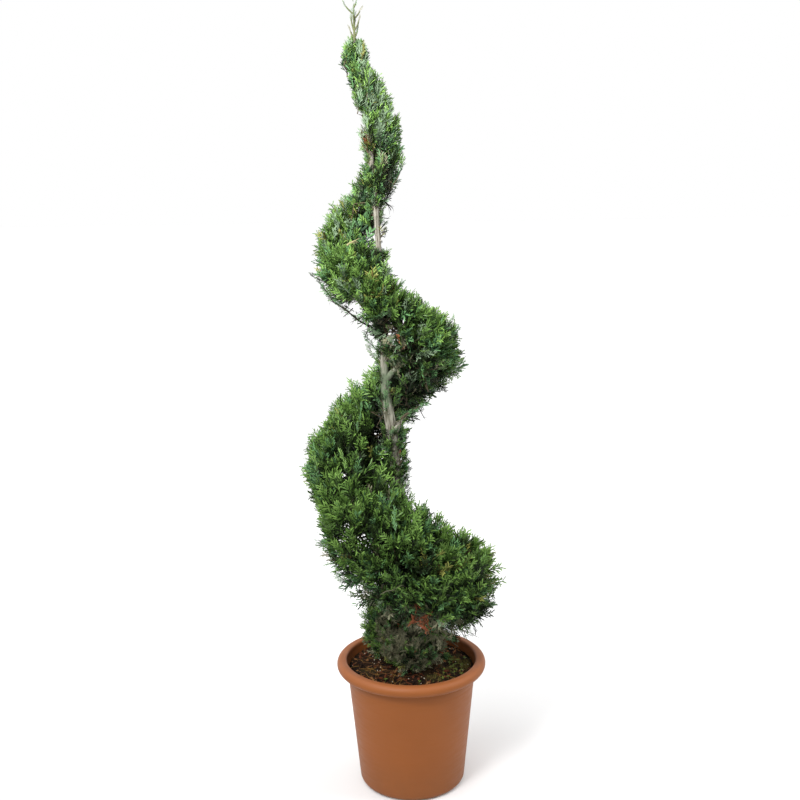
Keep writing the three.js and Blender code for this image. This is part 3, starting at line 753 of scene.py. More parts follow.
def draw_spray(rng, forked):
    """One spray that grows along +Y, and for each of its faces whether it belongs to a young tip."""
    sweep = rng.uniform(-0.12, 0.12)

    def stem(t):
        return np.array([sweep * t * t, t, 0.05 * np.sin(3 * t)])

    half_width = HALF_WIDTH if forked else PLAIN_HALF_WIDTH
    parts = [branchlet(stem(0), stem(1), STEM_HALF_WIDTH, 0.0)]
    young = [False]
    for k in range(SIDE_BRANCHLETS):
        t = FIRST_BRANCHLET + BRANCHLET_SPAN * (k + rng.uniform(-0.3, 0.3)) / SIDE_BRANCHLETS
        side = 1 if k % 2 else -1
        length = (LONGEST - SHORTER_AT_TIP * t) * rng.uniform(0.8, 1.2)
        angle = np.radians(rng.uniform(*BRANCHLET_ANGLES))
        rise = rng.uniform(-0.3, 0.3)
        direction = np.array([side * np.sin(angle), np.cos(angle), rise])
        root = stem(t)
        parts.append(branchlet(root, root + length * direction, half_width, rng.uniform(-0.6, 0.6)))
        young.append(t > YOUNG_FROM)
        if not forked or t > LAST_FORK:
            continue
        turned = angle + rng.choice((-1, 1)) * np.radians(rng.uniform(*FORK_ANGLES))
        fork = np.array([side * np.sin(turned), np.cos(turned), rise + rng.uniform(-0.25, 0.25)])
        start = root + rng.uniform(0.3, 0.5) * length * direction
        parts.append(branchlet(start, start + FORK_SHARE * length * fork, half_width, rng.uniform(-0.8, 0.8)))
        young.append(True)
    points, faces = join(parts)
    return points, faces, np.repeat(young, [len(part[1]) for part in parts])


rng = np.random.default_rng(21)
sprays = [draw_spray(rng, i < FINE_SPRAYS) for i in range(FINE_SPRAYS + PLAIN_SPRAYS)]
print("triangles in a spray:", [len(faces) for _, faces, _ in sprays])

# %% [markdown]
# ### The colours of the foliage
# New tips are yellow-green and open foliage is mid or bluish green. The near-black green is painted shade,
# dealt most deep in the crown, underneath and on the faces of the lower turns. Under the crown it goes grey,
# and a few sprays are bronze or dead. Higher up and at the top the colours are paler, partly young growth and
# partly painted light. A large pattern on such small faces would be lost, so each spray is dealt one colour,
# and its young tips take the next fresher one. The sprays at the top of a shoot are dealt the fresher end of
# the range and those at
# its foot the painted shade: partly young growth, partly painted light and shade on each tuft. The fine bump
# stands for the scale leaves, 1.5 mm long.

# %% Scale leaves
# The darkest green here is painted shade: it stands for the shade in the crown, not a colour of the needles.
LEAF_COLOURS = {
    "painted_shade": "#0e150a", "bluish": "#1d341e", "mid": "#1d2c10", "bright": "#2b3f18", "fresh": "#446029",
    "silvery": "#66795f", "grey": "#6b6a54", "bronze": "#453a1c", "dead": "#8c5136",
    "new": "#5d7b39", "new_bluish": "#4a6c43", "olive": "#73763a"}
KINDS = list(LEAF_COLOURS)
FRESHER = {"painted_shade": "mid", "bluish": "new_bluish", "mid": "fresh", "bright": "new", "fresh": "new",
           "bronze": "olive"}


def scale_leaves(kind, hex_colour):
    """A waxy leaf surface: fairly matt, with a faint lighter bloom between the scales."""
    def scaly(tree, place_on):
        scales = add_node(tree, "TexVoronoi", {"Vector": place_on, "Scale": per_mm(1.5)})
        base = linear(hex_colour)
        bloom = [min(1.0, 1.3 * channel + 0.004) for channel in base[:3]] + [1.0]
        colour = add_node(tree, "Mix", {FACTOR: scales, COLOUR_A: base, COLOUR_B: bloom}, data_type="RGBA")
        bump = add_node(tree, "Bump", {"Height": scales, "Strength": 0.3, "Distance": 0.3 * MM})
        return {"Base Color": colour, "Normal": bump}
    return make_material(f"scale_leaves_{kind}", {"Roughness": 0.45, "Specular IOR Level": 0.18}, scaly)


leaves = [scale_leaves(kind, colour) for kind, colour in LEAF_COLOURS.items()]
fresher = np.array([KINDS.index(FRESHER.get(kind, kind)) for kind in KINDS])
DEAD_TUFT = {"place": (20, -178, 166), "radius": 24}

# Shares of each colour by where a spray grows, in the order of LEAF_COLOURS. Its last three are only for tips
ZONES = {
    # The first share of each row is the painted-shade green; it is largest inside, underneath and on the
    # faces.
    "inside": (0.80, 0.07, 0.08, 0.00, 0.00, 0.00, 0.03, 0.017, 0.003),
    "face": (0.43, 0.19, 0.25, 0.08, 0.02, 0.00, 0.02, 0.008, 0.002),
    "crest": (0.25, 0.13, 0.33, 0.21, 0.07, 0.00, 0.00, 0.008, 0.002),
    "sunny": (0.28, 0.08, 0.20, 0.24, 0.12, 0.00, 0.00, 0.078, 0.002),
    "foot": (0.10, 0.11, 0.05, 0.01, 0.00, 0.00, 0.69, 0.03, 0.01),
    "under": (0.38, 0.29, 0.11, 0.02, 0.00, 0.08, 0.11, 0.007, 0.003),
    # High and top are dealt paler greens: partly young growth, partly painted light on the upper turns.
    "high": (0.17, 0.19, 0.24, 0.21, 0.08, 0.05, 0.00, 0.058, 0.002),
    "top": (0.03, 0.20, 0.10, 0.20, 0.13, 0.32, 0.00, 0.018, 0.002),
}
ZONE = {name: i for i, name in enumerate(ZONES)}
SHARES = np.cumsum(list(ZONES.values()), axis=1)

# %% [markdown]
# ## Gaps in the crown
# Here and there the eye goes right through the crown. Each gap is a straight round passage from a point on
# the front side to one on the back, and a spray that would reach into one is left out.

# %% Where the crown is open
OPEN_TO_SKY = np.array([  # the two ends of a gap right through the crown, and its radius
    (-102, -130, 784, -113, 120, 760, 12), (-94, -110, 771, -102, 120, 747, 9),
    (-87, -110, 897, -95, 100, 888, 5), (-64, -90, 527, -70, 190, 466, 11), (-20, -90, 469, -21, 190, 400, 8),
    (-67, -60, 702, -72, 150, 674, 8), (-90, -230, 349, -107, 200, 209, 9),
    (-122, -220, 378, -145, 200, 248, 9), (-134, -200, 342, -156, 180, 218, 8),
    (-9, -150, 757, -8, 130, 726, 9), (-27, -150, 738, -28, 130, 704, 9),
    (-117, -200, 421, -137, 200, 307, 8), (-126, -150, 457, -145, 200, 366, 8),
    (-38, -130, 760, -40, 120, 734, 8)])


def in_a_gap(points):
    """Whether each point lies in one of the gaps."""
    found = np.zeros(points.shape[:-1], dtype=bool)
    for gap in OPEN_TO_SKY:
        start, way, radius = gap[:3], gap[3:6] - gap[:3], gap[6]
        share = np.clip(((points - start) @ way) / (way @ way), 0, 1)
        found |= np.linalg.norm(points - start - share[..., None] * way, axis=-1) < radius
    return found


print("gaps in the crown:", len(OPEN_TO_SKY))

# %% [markdown]
# ## Shoots
# Clipping makes a conifer dense: every cut tip forks, so short leafy shoots stand side by side over the whole
# clipped surface. Shoots are set out evenly over the ribbon's section. Each leans outwards and upwards, and
# carries sprays all round that open wider towards its foot.

# %% Where the shoots stand
SPACING, SPACING_SHARE = 19, 0.075
SHOOT_LENGTH, SHOOT_LENGTH_SHARE = 18, 0.26
SPRAY_LENGTH, SPRAY_LENGTH_SHARE = 29, 0.09
LAYERS = ({"name": "surface", "share": 1.0, "spacing": 1.0, "longer": 1.0},
          {"name": "inside", "share": 0.55, "spacing": 1.25, "longer": 1.3})
TUFT_SIZE, TUFT_DEPTH = 42, 12
STEEP_BELOW, MOST_SUNK, LOWEST_FOOT = 95, 0.7, 6
UNDER_ANGLE, RAGGED_UNDER, RAGGED_ABOVE = -0.45, 14, 5
SINK, SINK_ON_TOP = 0.45, 0.22
OUTWARD, FROM_TRUNK, CLIMB, CLIMB_ON_TOP, CLIMB_WHERE_STEEP, WANDER = 0.5, 0.3, 0.6, 0.35, 1.4, 0.36
SECTION_EDGE, SECTION_STEPS = np.radians(87), 240


def surface_normal(turn, out, up):
    """The way out of the ribbon's surface, with the climb of the ribbon taken into account."""
    azimuth = -2 * np.pi * turn
    reach, half = ribbon_reach(turn), ribbon_half(turn)
    nudge = 0.01
    climb = (ribbon_height(turn + nudge) - ribbon_height(turn - nudge)) / (2 * nudge * 2 * np.pi)
    power = roundness(turn, up) - 1
    outward = (out / reach) ** power / reach
    upward = np.sign(up) * (np.abs(up) / half) ** power / half
    backward = upward * climb / np.maximum(out, 0.25 * reach)
    radial = level_way(azimuth)
    onward = np.stack([np.sin(azimuth), -np.cos(azimuth), 0 * azimuth], axis=-1)
    normal = outward[..., None] * radial + upward[..., None] * UP - backward[..., None] * onward
    return unit(normal), radial


def set_out_shoots(start, layer, rng):
    """Feet, axes and lengths of a mass's shoots, evenly spaced over its part of a layer of the ribbon."""
    middle = start + MASS_TURN / 2
    spacing = layer["spacing"] * (SPACING + SPACING_SHARE * ribbon_reach(middle))
    angles = np.linspace(-SECTION_EDGE, SECTION_EDGE, SECTION_STEPS)
    out, up = in_section(middle, layer["share"], angles)
    travelled = np.concatenate([[0], np.cumsum(np.hypot(np.diff(out), np.diff(up)))])
    rows = max(3, round(travelled[-1] / spacing))
    turns, row_angles = [], []
    for row in range(rows):
        at = np.interp((row + 0.5 + rng.uniform(-0.2, 0.2)) / rows * travelled[-1], travelled, angles)
        arc_length = MASS_TURN * 2 * np.pi * in_section(middle, layer["share"], at)[0]
        columns = max(1, round(arc_length / spacing))
        share = (np.arange(columns) + 0.5 + rng.uniform(-0.3, 0.3, columns)) / columns
        turns.append(start + MASS_TURN * share)
        row_angles.append(at + rng.uniform(-0.03, 0.03, columns))
    turn, angle = np.concatenate(turns), np.concatenate(row_angles)
    out, up = in_section(turn, layer["share"], angle)
    normal, radial = surface_normal(turn, out, up)
    spray_length = layer["longer"] * (SPRAY_LENGTH + SPRAY_LENGTH_SHARE * ribbon_reach(turn))

    # Shoots end below the surface, further on top than underneath, and their sprays fill the rest
    surface = place(turn, out, up)
    ragged = np.where(angle < UNDER_ANGLE, RAGGED_UNDER, RAGGED_ABOVE) * rng.uniform(-1, 1, len(turn))
    sunk = spray_length * (SINK + SINK_ON_TOP * np.sin(angle))
    sunk = sunk + TUFT_DEPTH * rough(surface, TUFT_SIZE) + ragged
    sunk = np.minimum(sunk + uneven(surface), MOST_SUNK * ribbon_reach(turn))
    tip = surface - sunk[:, None] * normal
    steep = np.clip(1 - ribbon_reach(turn) / STEEP_BELOW, 0, 1)
    climb = (CLIMB + CLIMB_ON_TOP * np.sin(angle) + CLIMB_WHERE_STEEP * steep)[:, None] * UP
    wander = rng.uniform(-WANDER, WANDER, normal.shape)
    axis = unit(OUTWARD * normal + FROM_TRUNK * radial + climb + wander)
    length = (SHOOT_LENGTH + SHOOT_LENGTH_SHARE * ribbon_reach(turn)) * rng.uniform(0.8, 1.15, len(turn))
    foot = tip - (layer["share"] * length)[:, None] * axis

    # A foot that would stand in the trunk starts at its bark instead
    away = (foot - on_axis(foot[:, 2]))[:, :2]
    gap = np.linalg.norm(away, axis=1)
    least = trunk_radius(foot[:, 2]) + 1
    inside = gap < least
    foot[inside, :2] += (away * (least / np.maximum(gap, 0.1) - 1)[:, None])[inside]
    foot[:, 2] = np.maximum(foot[:, 2], LOWEST_FOOT)
    return {"foot": foot, "tip": tip, "angle": angle, "spray": spray_length, "middle": middle, "steep": steep,
            "on": layer["name"]}


# %% [markdown]
# ### Sprays on a shoot
# The golden angle spreads the sprays round each shoot, as on the real one. Where a tip would pass the
# clipped surface the spray is shortened until it fits, which is what the shears do, and a spray that
# would be left too short is dropped.

# %% Sprays on the shoots
SPRAYS_ON_SHOOT = {"surface": 14, "inside": 9, "wood": 6}
GOLDEN_ANGLE = np.pi * (3 - np.sqrt(5))
FIRST_SPRAY, SPRAY_SIZES = 0.12, (0.65, 1.2)
SIZE_AT_FOOT, SIZE_LOST, LONGER_WHERE_STEEP = 1.1, 0.25, 0.4
OPENING, CLOSING, SWAY, CLOSED_WHERE_STEEP = 62, 44, 15, 0.5  # degrees from the shoot, but for the last
LIFT, LIFT_WHERE_STEEP = 0.4, 1.8
FINER_AT_FOOT, FINE_HEIGHTS = 0.3, (90, 200)
UNDER_SLACK, RAGGED = 0.03, 0.06  # shares of the depth by which a tip may pass the surface
SNIPS, SNIP, SHORTEST = 6, 0.86, 0.45  # cuts at most, what each leaves, and the shortest stump kept
PLAIN_BELOW, WOOD_DEPTH = {"surface": 0.66, "inside": 2, "wood": 0}, 0.8
OPEN_BELOW, CLEARANCE, LOWEST = 0.35, 2, 2

# Where one zone of colour gives way to the next: by angle, depth and steepness, then by place in mm
CREST_ANGLE, CREST, DEEP, STEEP = -0.4, 0.84, 0.62, 0.3
SUNNY_SIDE, FOOT_SIDES = 60, (-74, 75)
HIGH_FROM, HIGH_FADE, FOOT_TO, FOOT_FADE, UNDER_SHARE = 450, 600, 230, 180, 0.7
DRIFT_SIZE, DRIFT_SHARE, FRESH_AT_TIP = 75, 0.4, 0.4
LAST_GREEN = KINDS.index("silvery")


def fan_out(shoots, rng):
    """All the sprays of the shoots before the shears: share of the way up, root, axes and length of each."""
    size = (len(shoots["foot"]), SPRAYS_ON_SHOOT[shoots["on"]])
    k = np.arange(size[1])
    share = (k + 0.5) / size[1]
    reach = shoots["tip"] - shoots["foot"]
    axis = unit(reach)
    side = unit(np.cross(axis, np.array([0.3, 0.2, 1.0])))
    other = np.cross(axis, side)
    along_shoot = FIRST_SPRAY + (1 - FIRST_SPRAY) * share
    root = shoots["foot"][:, None] + along_shoot[:, None] * reach[:, None]
    spin_by = k * GOLDEN_ANGLE + rng.uniform(0, 2 * np.pi, (size[0], 1))
    steep = shoots["steep"][:, None]
    opening = np.radians(OPENING - CLOSING * share + rng.uniform(-SWAY, SWAY, size))
    opening = opening * (1 - CLOSED_WHERE_STEEP * steep)
    sideways = np.cos(spin_by)[..., None] * side[:, None] + np.sin(spin_by)[..., None] * other[:, None]
    along = np.cos(opening)[..., None] * axis[:, None] + np.sin(opening)[..., None] * sideways
    along = unit(along + (LIFT + LIFT_WHERE_STEEP * steep[..., None]) * UP)
    length = shoots["spray"][:, None] * rng.uniform(*SPRAY_SIZES, size)
    length = length * (SIZE_AT_FOOT - SIZE_LOST * share) * (1 + LONGER_WHERE_STEEP * steep)
    low = np.clip((FINE_HEIGHTS[1] - root[..., 2]) / (FINE_HEIGHTS[1] - FINE_HEIGHTS[0]), 0, 1)
    length = length * (1 - FINER_AT_FOOT * low)
    roll = rng.uniform(0, 2 * np.pi, size)
    flat = unit(np.cross(along, axis[:, None] + rng.uniform(-0.2, 0.2, along.shape)))
    across = np.cos(roll)[..., None] * flat + np.sin(roll)[..., None] * np.cross(along, flat)
    return share, root, along, across, length


def shear(shoots, root, along, full, rng):
    """The sprays' lengths, tips and depths after clipping, and which of them stay."""
    clipped = shoots["on"] != "wood"
    under = shoots["angle"][:, None] < UNDER_ANGLE
    limit = 1 + UNDER_SLACK * under + rng.uniform(-RAGGED, RAGGED, full.shape)
    length = full
    for _ in range(SNIPS if clipped else 0):
        beyond = depth_in_ribbon(root + length[..., None] * along, shoots["middle"]) > limit
        length = np.where(beyond, SNIP * length, length)
    tip = root + length[..., None] * along
    depth = depth_in_ribbon(tip, shoots["middle"]) if clipped else np.full(length.shape, WOOD_DEPTH)
    from_axis = np.hypot(tip[..., 0] - lean(tip[..., 2]), tip[..., 1])
    is_open = under & (rng.random(full.shape) < OPEN_BELOW)
    for share_along in (0.3, 0.65, 1.0):
        is_open |= in_a_gap(root + share_along * length[..., None] * along)
    keep = (depth <= limit) & ~is_open & (length > SHORTEST * full)
    keep &= (from_axis > flare_radius(tip[..., 2]) + CLEARANCE)
    keep &= (tip[..., 2] > LOWEST) & (root[..., 2] > LOWEST)
    return length, tip, depth, keep


def deal_colours(shoots, share, tip, depth, rng):
    """A colour number for each spray. About half of them follow a slow drift over the plant."""
    size, sideways, height = depth.shape, tip[..., 0], tip[..., 2]
    angle, outer = shoots["angle"][:, None], depth > DEEP
    crest = (angle > CREST_ANGLE) & (depth > CREST)
    between = (sideways > FOOT_SIDES[0]) & (sideways < FOOT_SIDES[1])
    zone = np.full(size, ZONE["face"])
    for name, where in (
            ("inside", depth < DEEP), ("crest", crest), ("sunny", crest & (sideways > SUNNY_SIDE)),
            ("high", (rng.random(size) < (height - HIGH_FROM) / HIGH_FADE) & outer),
            ("top", shoots["steep"][:, None] > STEEP),
            ("under", (angle < UNDER_ANGLE) & outer & (rng.random(size) < UNDER_SHARE)),
            ("foot", (rng.random(size) < (FOOT_TO - height) / FOOT_FADE) & between)):
        zone = np.where(where, ZONE[name], zone)
    drift = np.argsort(np.argsort(rough(shoots["tip"], DRIFT_SIZE))) / size[0]
    draw = np.where(rng.random(size) < DRIFT_SHARE, drift[:, None], rng.random(size))
    green = SHARES[zone][..., LAST_GREEN]
    # A shoot's upper sprays are dealt fresher colours and its lower ones darker ones, down to the painted
    # shade: partly young growth, partly painted light and shade on each tuft.
    draw = np.where(draw < green, np.clip(draw + FRESH_AT_TIP * (share - 0.5), 0, 0.999 * green), draw)
    kind = (SHARES[zone] > 0.999 * draw[..., None]).argmax(axis=-1)
    in_tuft = np.linalg.norm(tip - DEAD_TUFT["place"], axis=-1) < DEAD_TUFT["radius"]
    return np.where(in_tuft, KINDS.index("dead"), kind)


def spread_sprays(shoots, rng):
    """Roots, axes, lengths and colours of the sprays that a mass keeps."""
    share, root, along, across, full = fan_out(shoots, rng)
    length, tip, depth, keep = shear(shoots, root, along, full, rng)
    kind = deal_colours(shoots, share, tip, depth, rng)
    plain = (depth < PLAIN_BELOW[shoots["on"]]) & (shoots["steep"][:, None] < STEEP)
    laid = {"root": root, "along": along, "across": across, "length": length, "kind": kind, "plain": plain}
    return {key: values[keep] for key, values in laid.items()}


def lay_sprays(laid, rng):
    """One shape of copies of the drawn sprays, each in its own place, and the colour of each face."""
    number = len(laid["length"])
    chosen = np.where(laid["plain"], FINE_SPRAYS + rng.integers(0, PLAIN_SPRAYS, number),
                      rng.integers(0, FINE_SPRAYS, number))
    upright = np.cross(laid["across"], laid["along"])
    parts, kinds = [], []
    for i, (points, faces, young) in enumerate(sprays):
        pick = chosen == i
        if not pick.any():
            continue
        local = laid["length"][pick][:, None, None] * points
        moved = (laid["root"][pick][:, None] + local[..., :1] * laid["across"][pick][:, None]
                 + local[..., 1:2] * laid["along"][pick][:, None] + local[..., 2:] * upright[pick][:, None])
        copies = np.arange(pick.sum())[:, None, None] * len(points)
        parts.append((moved.reshape(-1, 3), (faces + copies).reshape(-1, 3)))
        kind = laid["kind"][pick][:, None]
        kinds.append(np.where(young, fresher[kind], kind).ravel())
    return join(parts), np.concatenate(kinds)


# %% [markdown]
# ### Twigs
# Every shoot grows from a twig, and every twig leads back to the bough. The tree is grown by a simple rule:
# nearest shoots first, each joins the part of the tree that makes the shortest way back to the bough.
# A twig is as thick as the number of shoots it feeds asks for.

# %% Twigs
TWIG_RADIUS, TWIG_POWER, DETOUR = 0.75, 0.42, 0.4
SHORTEST_TWIG, TWIG_SAG, TWIG_COLLAR, TWIG_STEPS, TWIG_SIDES = 1, 0.1, 1.15, 4, 5
STEM_RADII, STEM_BOW, STEM_SIDES = (1.1, 0.9, 0.7), 2, 4


def grow_twigs(start, start_radius, shoots, rng):
    """Tapering twigs from a bough's tip to the foot of every shoot, and on into each shoot."""
    feet = shoots["foot"][np.argsort(np.linalg.norm(shoots["foot"] - start, axis=1))]
    nodes, parents, travelled = np.vstack([start, feet]), [-1], [0.0]
    for i in range(1, len(nodes)):
        gaps = np.linalg.norm(nodes[:i] - nodes[i], axis=1)
        best = int(np.argmin(gaps + DETOUR * np.array(travelled)))
        parents.append(best)
        travelled.append(travelled[best] + gaps[best])
    load = np.ones(len(nodes))
    for i in range(len(nodes) - 1, 0, -1):
        load[parents[i]] += load[i]
    radius = np.minimum(TWIG_RADIUS * load ** TWIG_POWER, start_radius)
    twigs = []
    for i in range(1, len(nodes)):
        begin, end = nodes[parents[i]], nodes[i]
        if np.linalg.norm(end - begin) < SHORTEST_TWIG:
            continue
        sag = TWIG_SAG * np.linalg.norm(end - begin)
        middle = (begin + end) / 2 + rng.uniform(-sag, sag, 3) + 0.5 * sag * UP
        path = bend(begin, middle, end, TWIG_STEPS)
        thick = np.linspace(min(TWIG_COLLAR * radius[i], radius[parents[i]]), radius[i], TWIG_STEPS + 1)
        twigs.append(limb(path, thick, TWIG_SIDES))
    for foot, tip in zip(shoots["foot"], shoots["tip"]):
        middle = (foot + tip) / 2 + rng.uniform(-STEM_BOW, STEM_BOW, 3)
        twigs.append(limb(bend(foot, middle, tip, len(STEM_RADII)), STEM_RADII, STEM_SIDES))
    return join(twigs)


# %% [markdown]
# ### Shoots on the bare wood
# Between the turns the trunk isn't bare either. Short leafy shoots sprout from the bark of trunk and boughs
# and hug them, so that the wood shows only in glimpses, where the shears have cleared it.

# %% Shoots on the bare wood
LEAFY_SPANS = (  # from and to which height on the trunk, and how many shoots
    (20, 320, 40), (320, 400, 40), (400, 452, 58), (452, 506, 34), (506, 560, 4), (560, 660, 14),
    (660, 700, 16), (700, 876, 116), (876, 958, 4), (958, 1030, 36), (1030, 1255, 70))
SHOOTS_ON_BOUGH, FIRST_LEAFY_BOUGH, BOUGH_STEPS, LEAFY_STEPS = 13, 2, 40, (3, 36)
WOOD_SHOOT = {"sunk": 0.8, "length": (6, 12), "longer": 0.6, "outward": 0.75, "spray": (16, 23),
              "radii": (1.2, 0.9)}


def shoots_on_wood(foot_on_axis, thick, rng):
    """Short shoots that start on the bark at points of a limb's axis and rise close along it."""
    count = len(foot_on_axis)
    outward = level_way(rng.uniform(0, 2 * np.pi, count))
    foot = foot_on_axis + WOOD_SHOOT["sunk"] * thick[:, None] * outward
    length = rng.uniform(*WOOD_SHOOT["length"], (count, 1)) + WOOD_SHOOT["longer"] * thick[:, None]
    tip = foot + length * unit(WOOD_SHOOT["outward"] * outward + UP)
    spray = rng.uniform(*WOOD_SHOOT["spray"], count)
    return {"foot": foot, "tip": tip, "angle": np.zeros(count), "spray": spray, "steep": np.zeros(count),
            "on": "wood"}


def wood_to_cover(rng):
    """Points on the axes of trunk and boughs where shoots sprout, and the wood's radius there."""
    axis, thick = [], []
    for low, high, count in LEAFY_SPANS:
        height = rng.uniform(low, high, count)
        axis.append(on_axis(height))
        thick.append(trunk_radius(height))
    for turn in mass_middles[FIRST_LEAFY_BOUGH:]:
        path, radii = bough_path(turn, BOUGH_STEPS)
        pick = rng.integers(*LEAFY_STEPS, SHOOTS_ON_BOUGH)
        axis.append(path[pick])
        thick.append(radii[pick])
    return np.vstack(axis), np.concatenate(thick)


# %% [markdown]
# ### The sixteen masses
# Each mass has a seed of its own, so that a change to one leaves the others as they are. Its sprays are one
# mesh and its twigs another, because leaf and wood are different materials.

# %% Make the sixteen masses
twig_bark = plain_material("twig_bark", "#524939", 0.85, 3)
total = 0
for i, middle in enumerate(mass_middles):
    rng = np.random.default_rng(300 + i)
    number = f"{i + 1:02d}"
    layers = [set_out_shoots(middle - MASS_TURN / 2, layer, rng) for layer in LAYERS]
    spread = [spread_sprays(shoots, rng) for shoots in layers]
    laid = {key: np.concatenate([part[key] for part in spread]) for key in spread[0]}
    foliage, kinds = lay_sprays(laid, rng)
    make_piece(f"sprays_{number}", on_soil(foliage), leaves, [f"foliage_{number}"], kinds)
    shoots = {key: np.vstack([layer[key] for layer in layers]) for key in ("foot", "tip")}
    twigs = grow_twigs(*bough_tips[i], shoots, rng)
    make_piece(f"twigs_{number}", on_soil(twigs), [twig_bark], [f"foliage_{number}"])
    total += len(kinds) + len(twigs[1])
rng = np.random.default_rng(41)
shoots = shoots_on_wood(*wood_to_cover(rng), rng)
foliage, kinds = lay_sprays(spread_sprays(shoots, rng), rng)
make_piece("sprays_on_wood", on_soil(foliage), leaves, kinds=kinds)
ways = zip(shoots["foot"], shoots["tip"])
twigs = join([limb(np.linspace(foot, tip, 3), WOOD_SHOOT["radii"], STEM_SIDES) for foot, tip in ways])
make_piece("twigs_on_wood", on_soil(twigs), [twig_bark])
print("triangles of foliage and twigs:", total + len(kinds) + len(twigs[1]))

# %% [markdown]
# ## Bare limbs and long shoots
# Shears leave some wood without leaves: a limb along the underside of the second turn, a snag where a bough
# was cut off, and twigs under all but the lowest and the highest masses, where there is too little light for
# leaves. The limb and these twigs are painted near-black, as painted shade for the shadow under the turns.
# A few shoots have grown long since and lie on the foliage, or along the bare wood, like feathers.

# %% Bare limbs
BARE_LIMBS = (  # bark, radius at the foot and at the tip, and the points that the limb passes
    # This limb's near-black bark is painted shade.
    ("shade_darkened", 2.3, 0.8, ((-56, -6, 706), (-78, -50, 737), (-96, -88, 752), (-121, -104, 776), (-142, -98, 788),
                        (-160, -90, 812))),
    ("snag", 8.5, 5.5, ((-37, 2, 486), (-32, -2, 502), (-23, -6, 522), (-11, -11, 540))),
    ("pale", 3.0, 0.8, ((-15, -10, 539), (-5, -14, 549), (8, -15, 556), (18, -18, 564), (29, -19, 567))),
    ("dull", 1.4, 0.6, ((-34, -6, 517), (-26, -14, 533), (-8, -20, 541), (4, -28, 558))),
    ("dull", 1.2, 0.6, ((-60, -189, 226), (-47, -198, 237), (-36, -199, 238), (-22, -204, 249),
                        (-13, -203, 251))),
    ("split", 2.0, 1.2, ((-115, -93, 898), (-108, -91, 903), (-100, -88, 906), (-92, -84, 902))))
LIMB_SIDES, FORK_SIDES = 7, 4
FORK = {"length": (8, 20), "aside": 0.9, "bow": 1.5, "widths": ((0.5, 1.4), (0.35, 1))}  # share and most
TWIGGY_MASSES = slice(3, 13)
UNDER_TWIG = {"count": 5, "lowest": 60, "angle": (-1.45, -0.5), "section": 0.8, "stray": 0.6, "length": 8,
              "longer": 0.16, "knee": 0.5, "bow": 0.15, "radii": (1.1, 0.6)}
# The darkest bark is painted shade, for the limb and twigs under the turns.
limb_barks = {"shade_darkened": plain_material("shade_darkened_twig", "#241f17", 0.85, 3), "snag": bark,
              "pale": plain_material("pale_twig", "#484132", 0.85, 3),
              "dull": plain_material("grey_twig", "#555443", 0.85, 3),
              "split": plain_material("split_wood", "#8f8763", 0.8, 3)}


def bare_limb(path, start, end, rng):
    """A limb through the given points, with a short fork at every point on the way."""
    path = np.array(path, dtype=float)
    thick = np.linspace(start, end, len(path))
    parts = [limb(path, thick, LIMB_SIDES)]
    for i in range(1, len(path) - 1):
        ahead = unit(path[i + 1] - path[i])
        aside = unit(np.cross(ahead, rng.standard_normal(3)))
        tip = path[i] + rng.uniform(*FORK["length"]) * unit(ahead + FORK["aside"] * aside)
        middle = (path[i] + tip) / 2 + rng.uniform(-FORK["bow"], FORK["bow"], 3)
        widths = [min(share * thick[i], most) for share, most in FORK["widths"]]
        parts.append(limb([path[i], middle, tip], widths, FORK_SIDES))
    return parts


rng = np.random.default_rng(63)
bark_names = list(limb_barks)
parts, kinds = [], []
for kind, start, end, path in BARE_LIMBS:
    parts += bare_limb(path, start, end, rng)
    kinds += [bark_names.index(kind)] * (len(parts) - len(kinds))
for middle in mass_middles[TWIGGY_MASSES]:
    for _ in range(UNDER_TWIG["count"]):
        turn = np.array([middle + MASS_TURN * rng.uniform(-0.5, 0.5)])
        angle = np.array([rng.uniform(*UNDER_TWIG["angle"])])
        out, up = in_section(turn, UNDER_TWIG["section"], angle)
        stray = rng.uniform(-UNDER_TWIG["stray"], UNDER_TWIG["stray"], 3)
        outward = unit(surface_normal(turn, out, up)[0][0] + stray)
        foot = place(turn, out, up)[0]
        length = UNDER_TWIG["longer"] * ribbon_reach(middle) + UNDER_TWIG["length"]
        bow = rng.uniform(-UNDER_TWIG["bow"], UNDER_TWIG["bow"], 3)
        knee = foot + length * (UNDER_TWIG["knee"] * outward + bow)
        if foot[2] > UNDER_TWIG["lowest"]:
            path = bend(foot, knee, foot + length * outward, TWIG_STEPS)
            parts += bare_limb(path, *UNDER_TWIG["radii"], rng)
# The twigs under the masses take the painted-shade bark.
kinds += [bark_names.index("shade_darkened")] * (len(parts) - len(kinds))
kinds = np.repeat(kinds, [len(part[1]) for part in parts])
make_piece("bare_limbs", on_soil(join(parts)), list(limb_barks.values()), kinds=kinds)

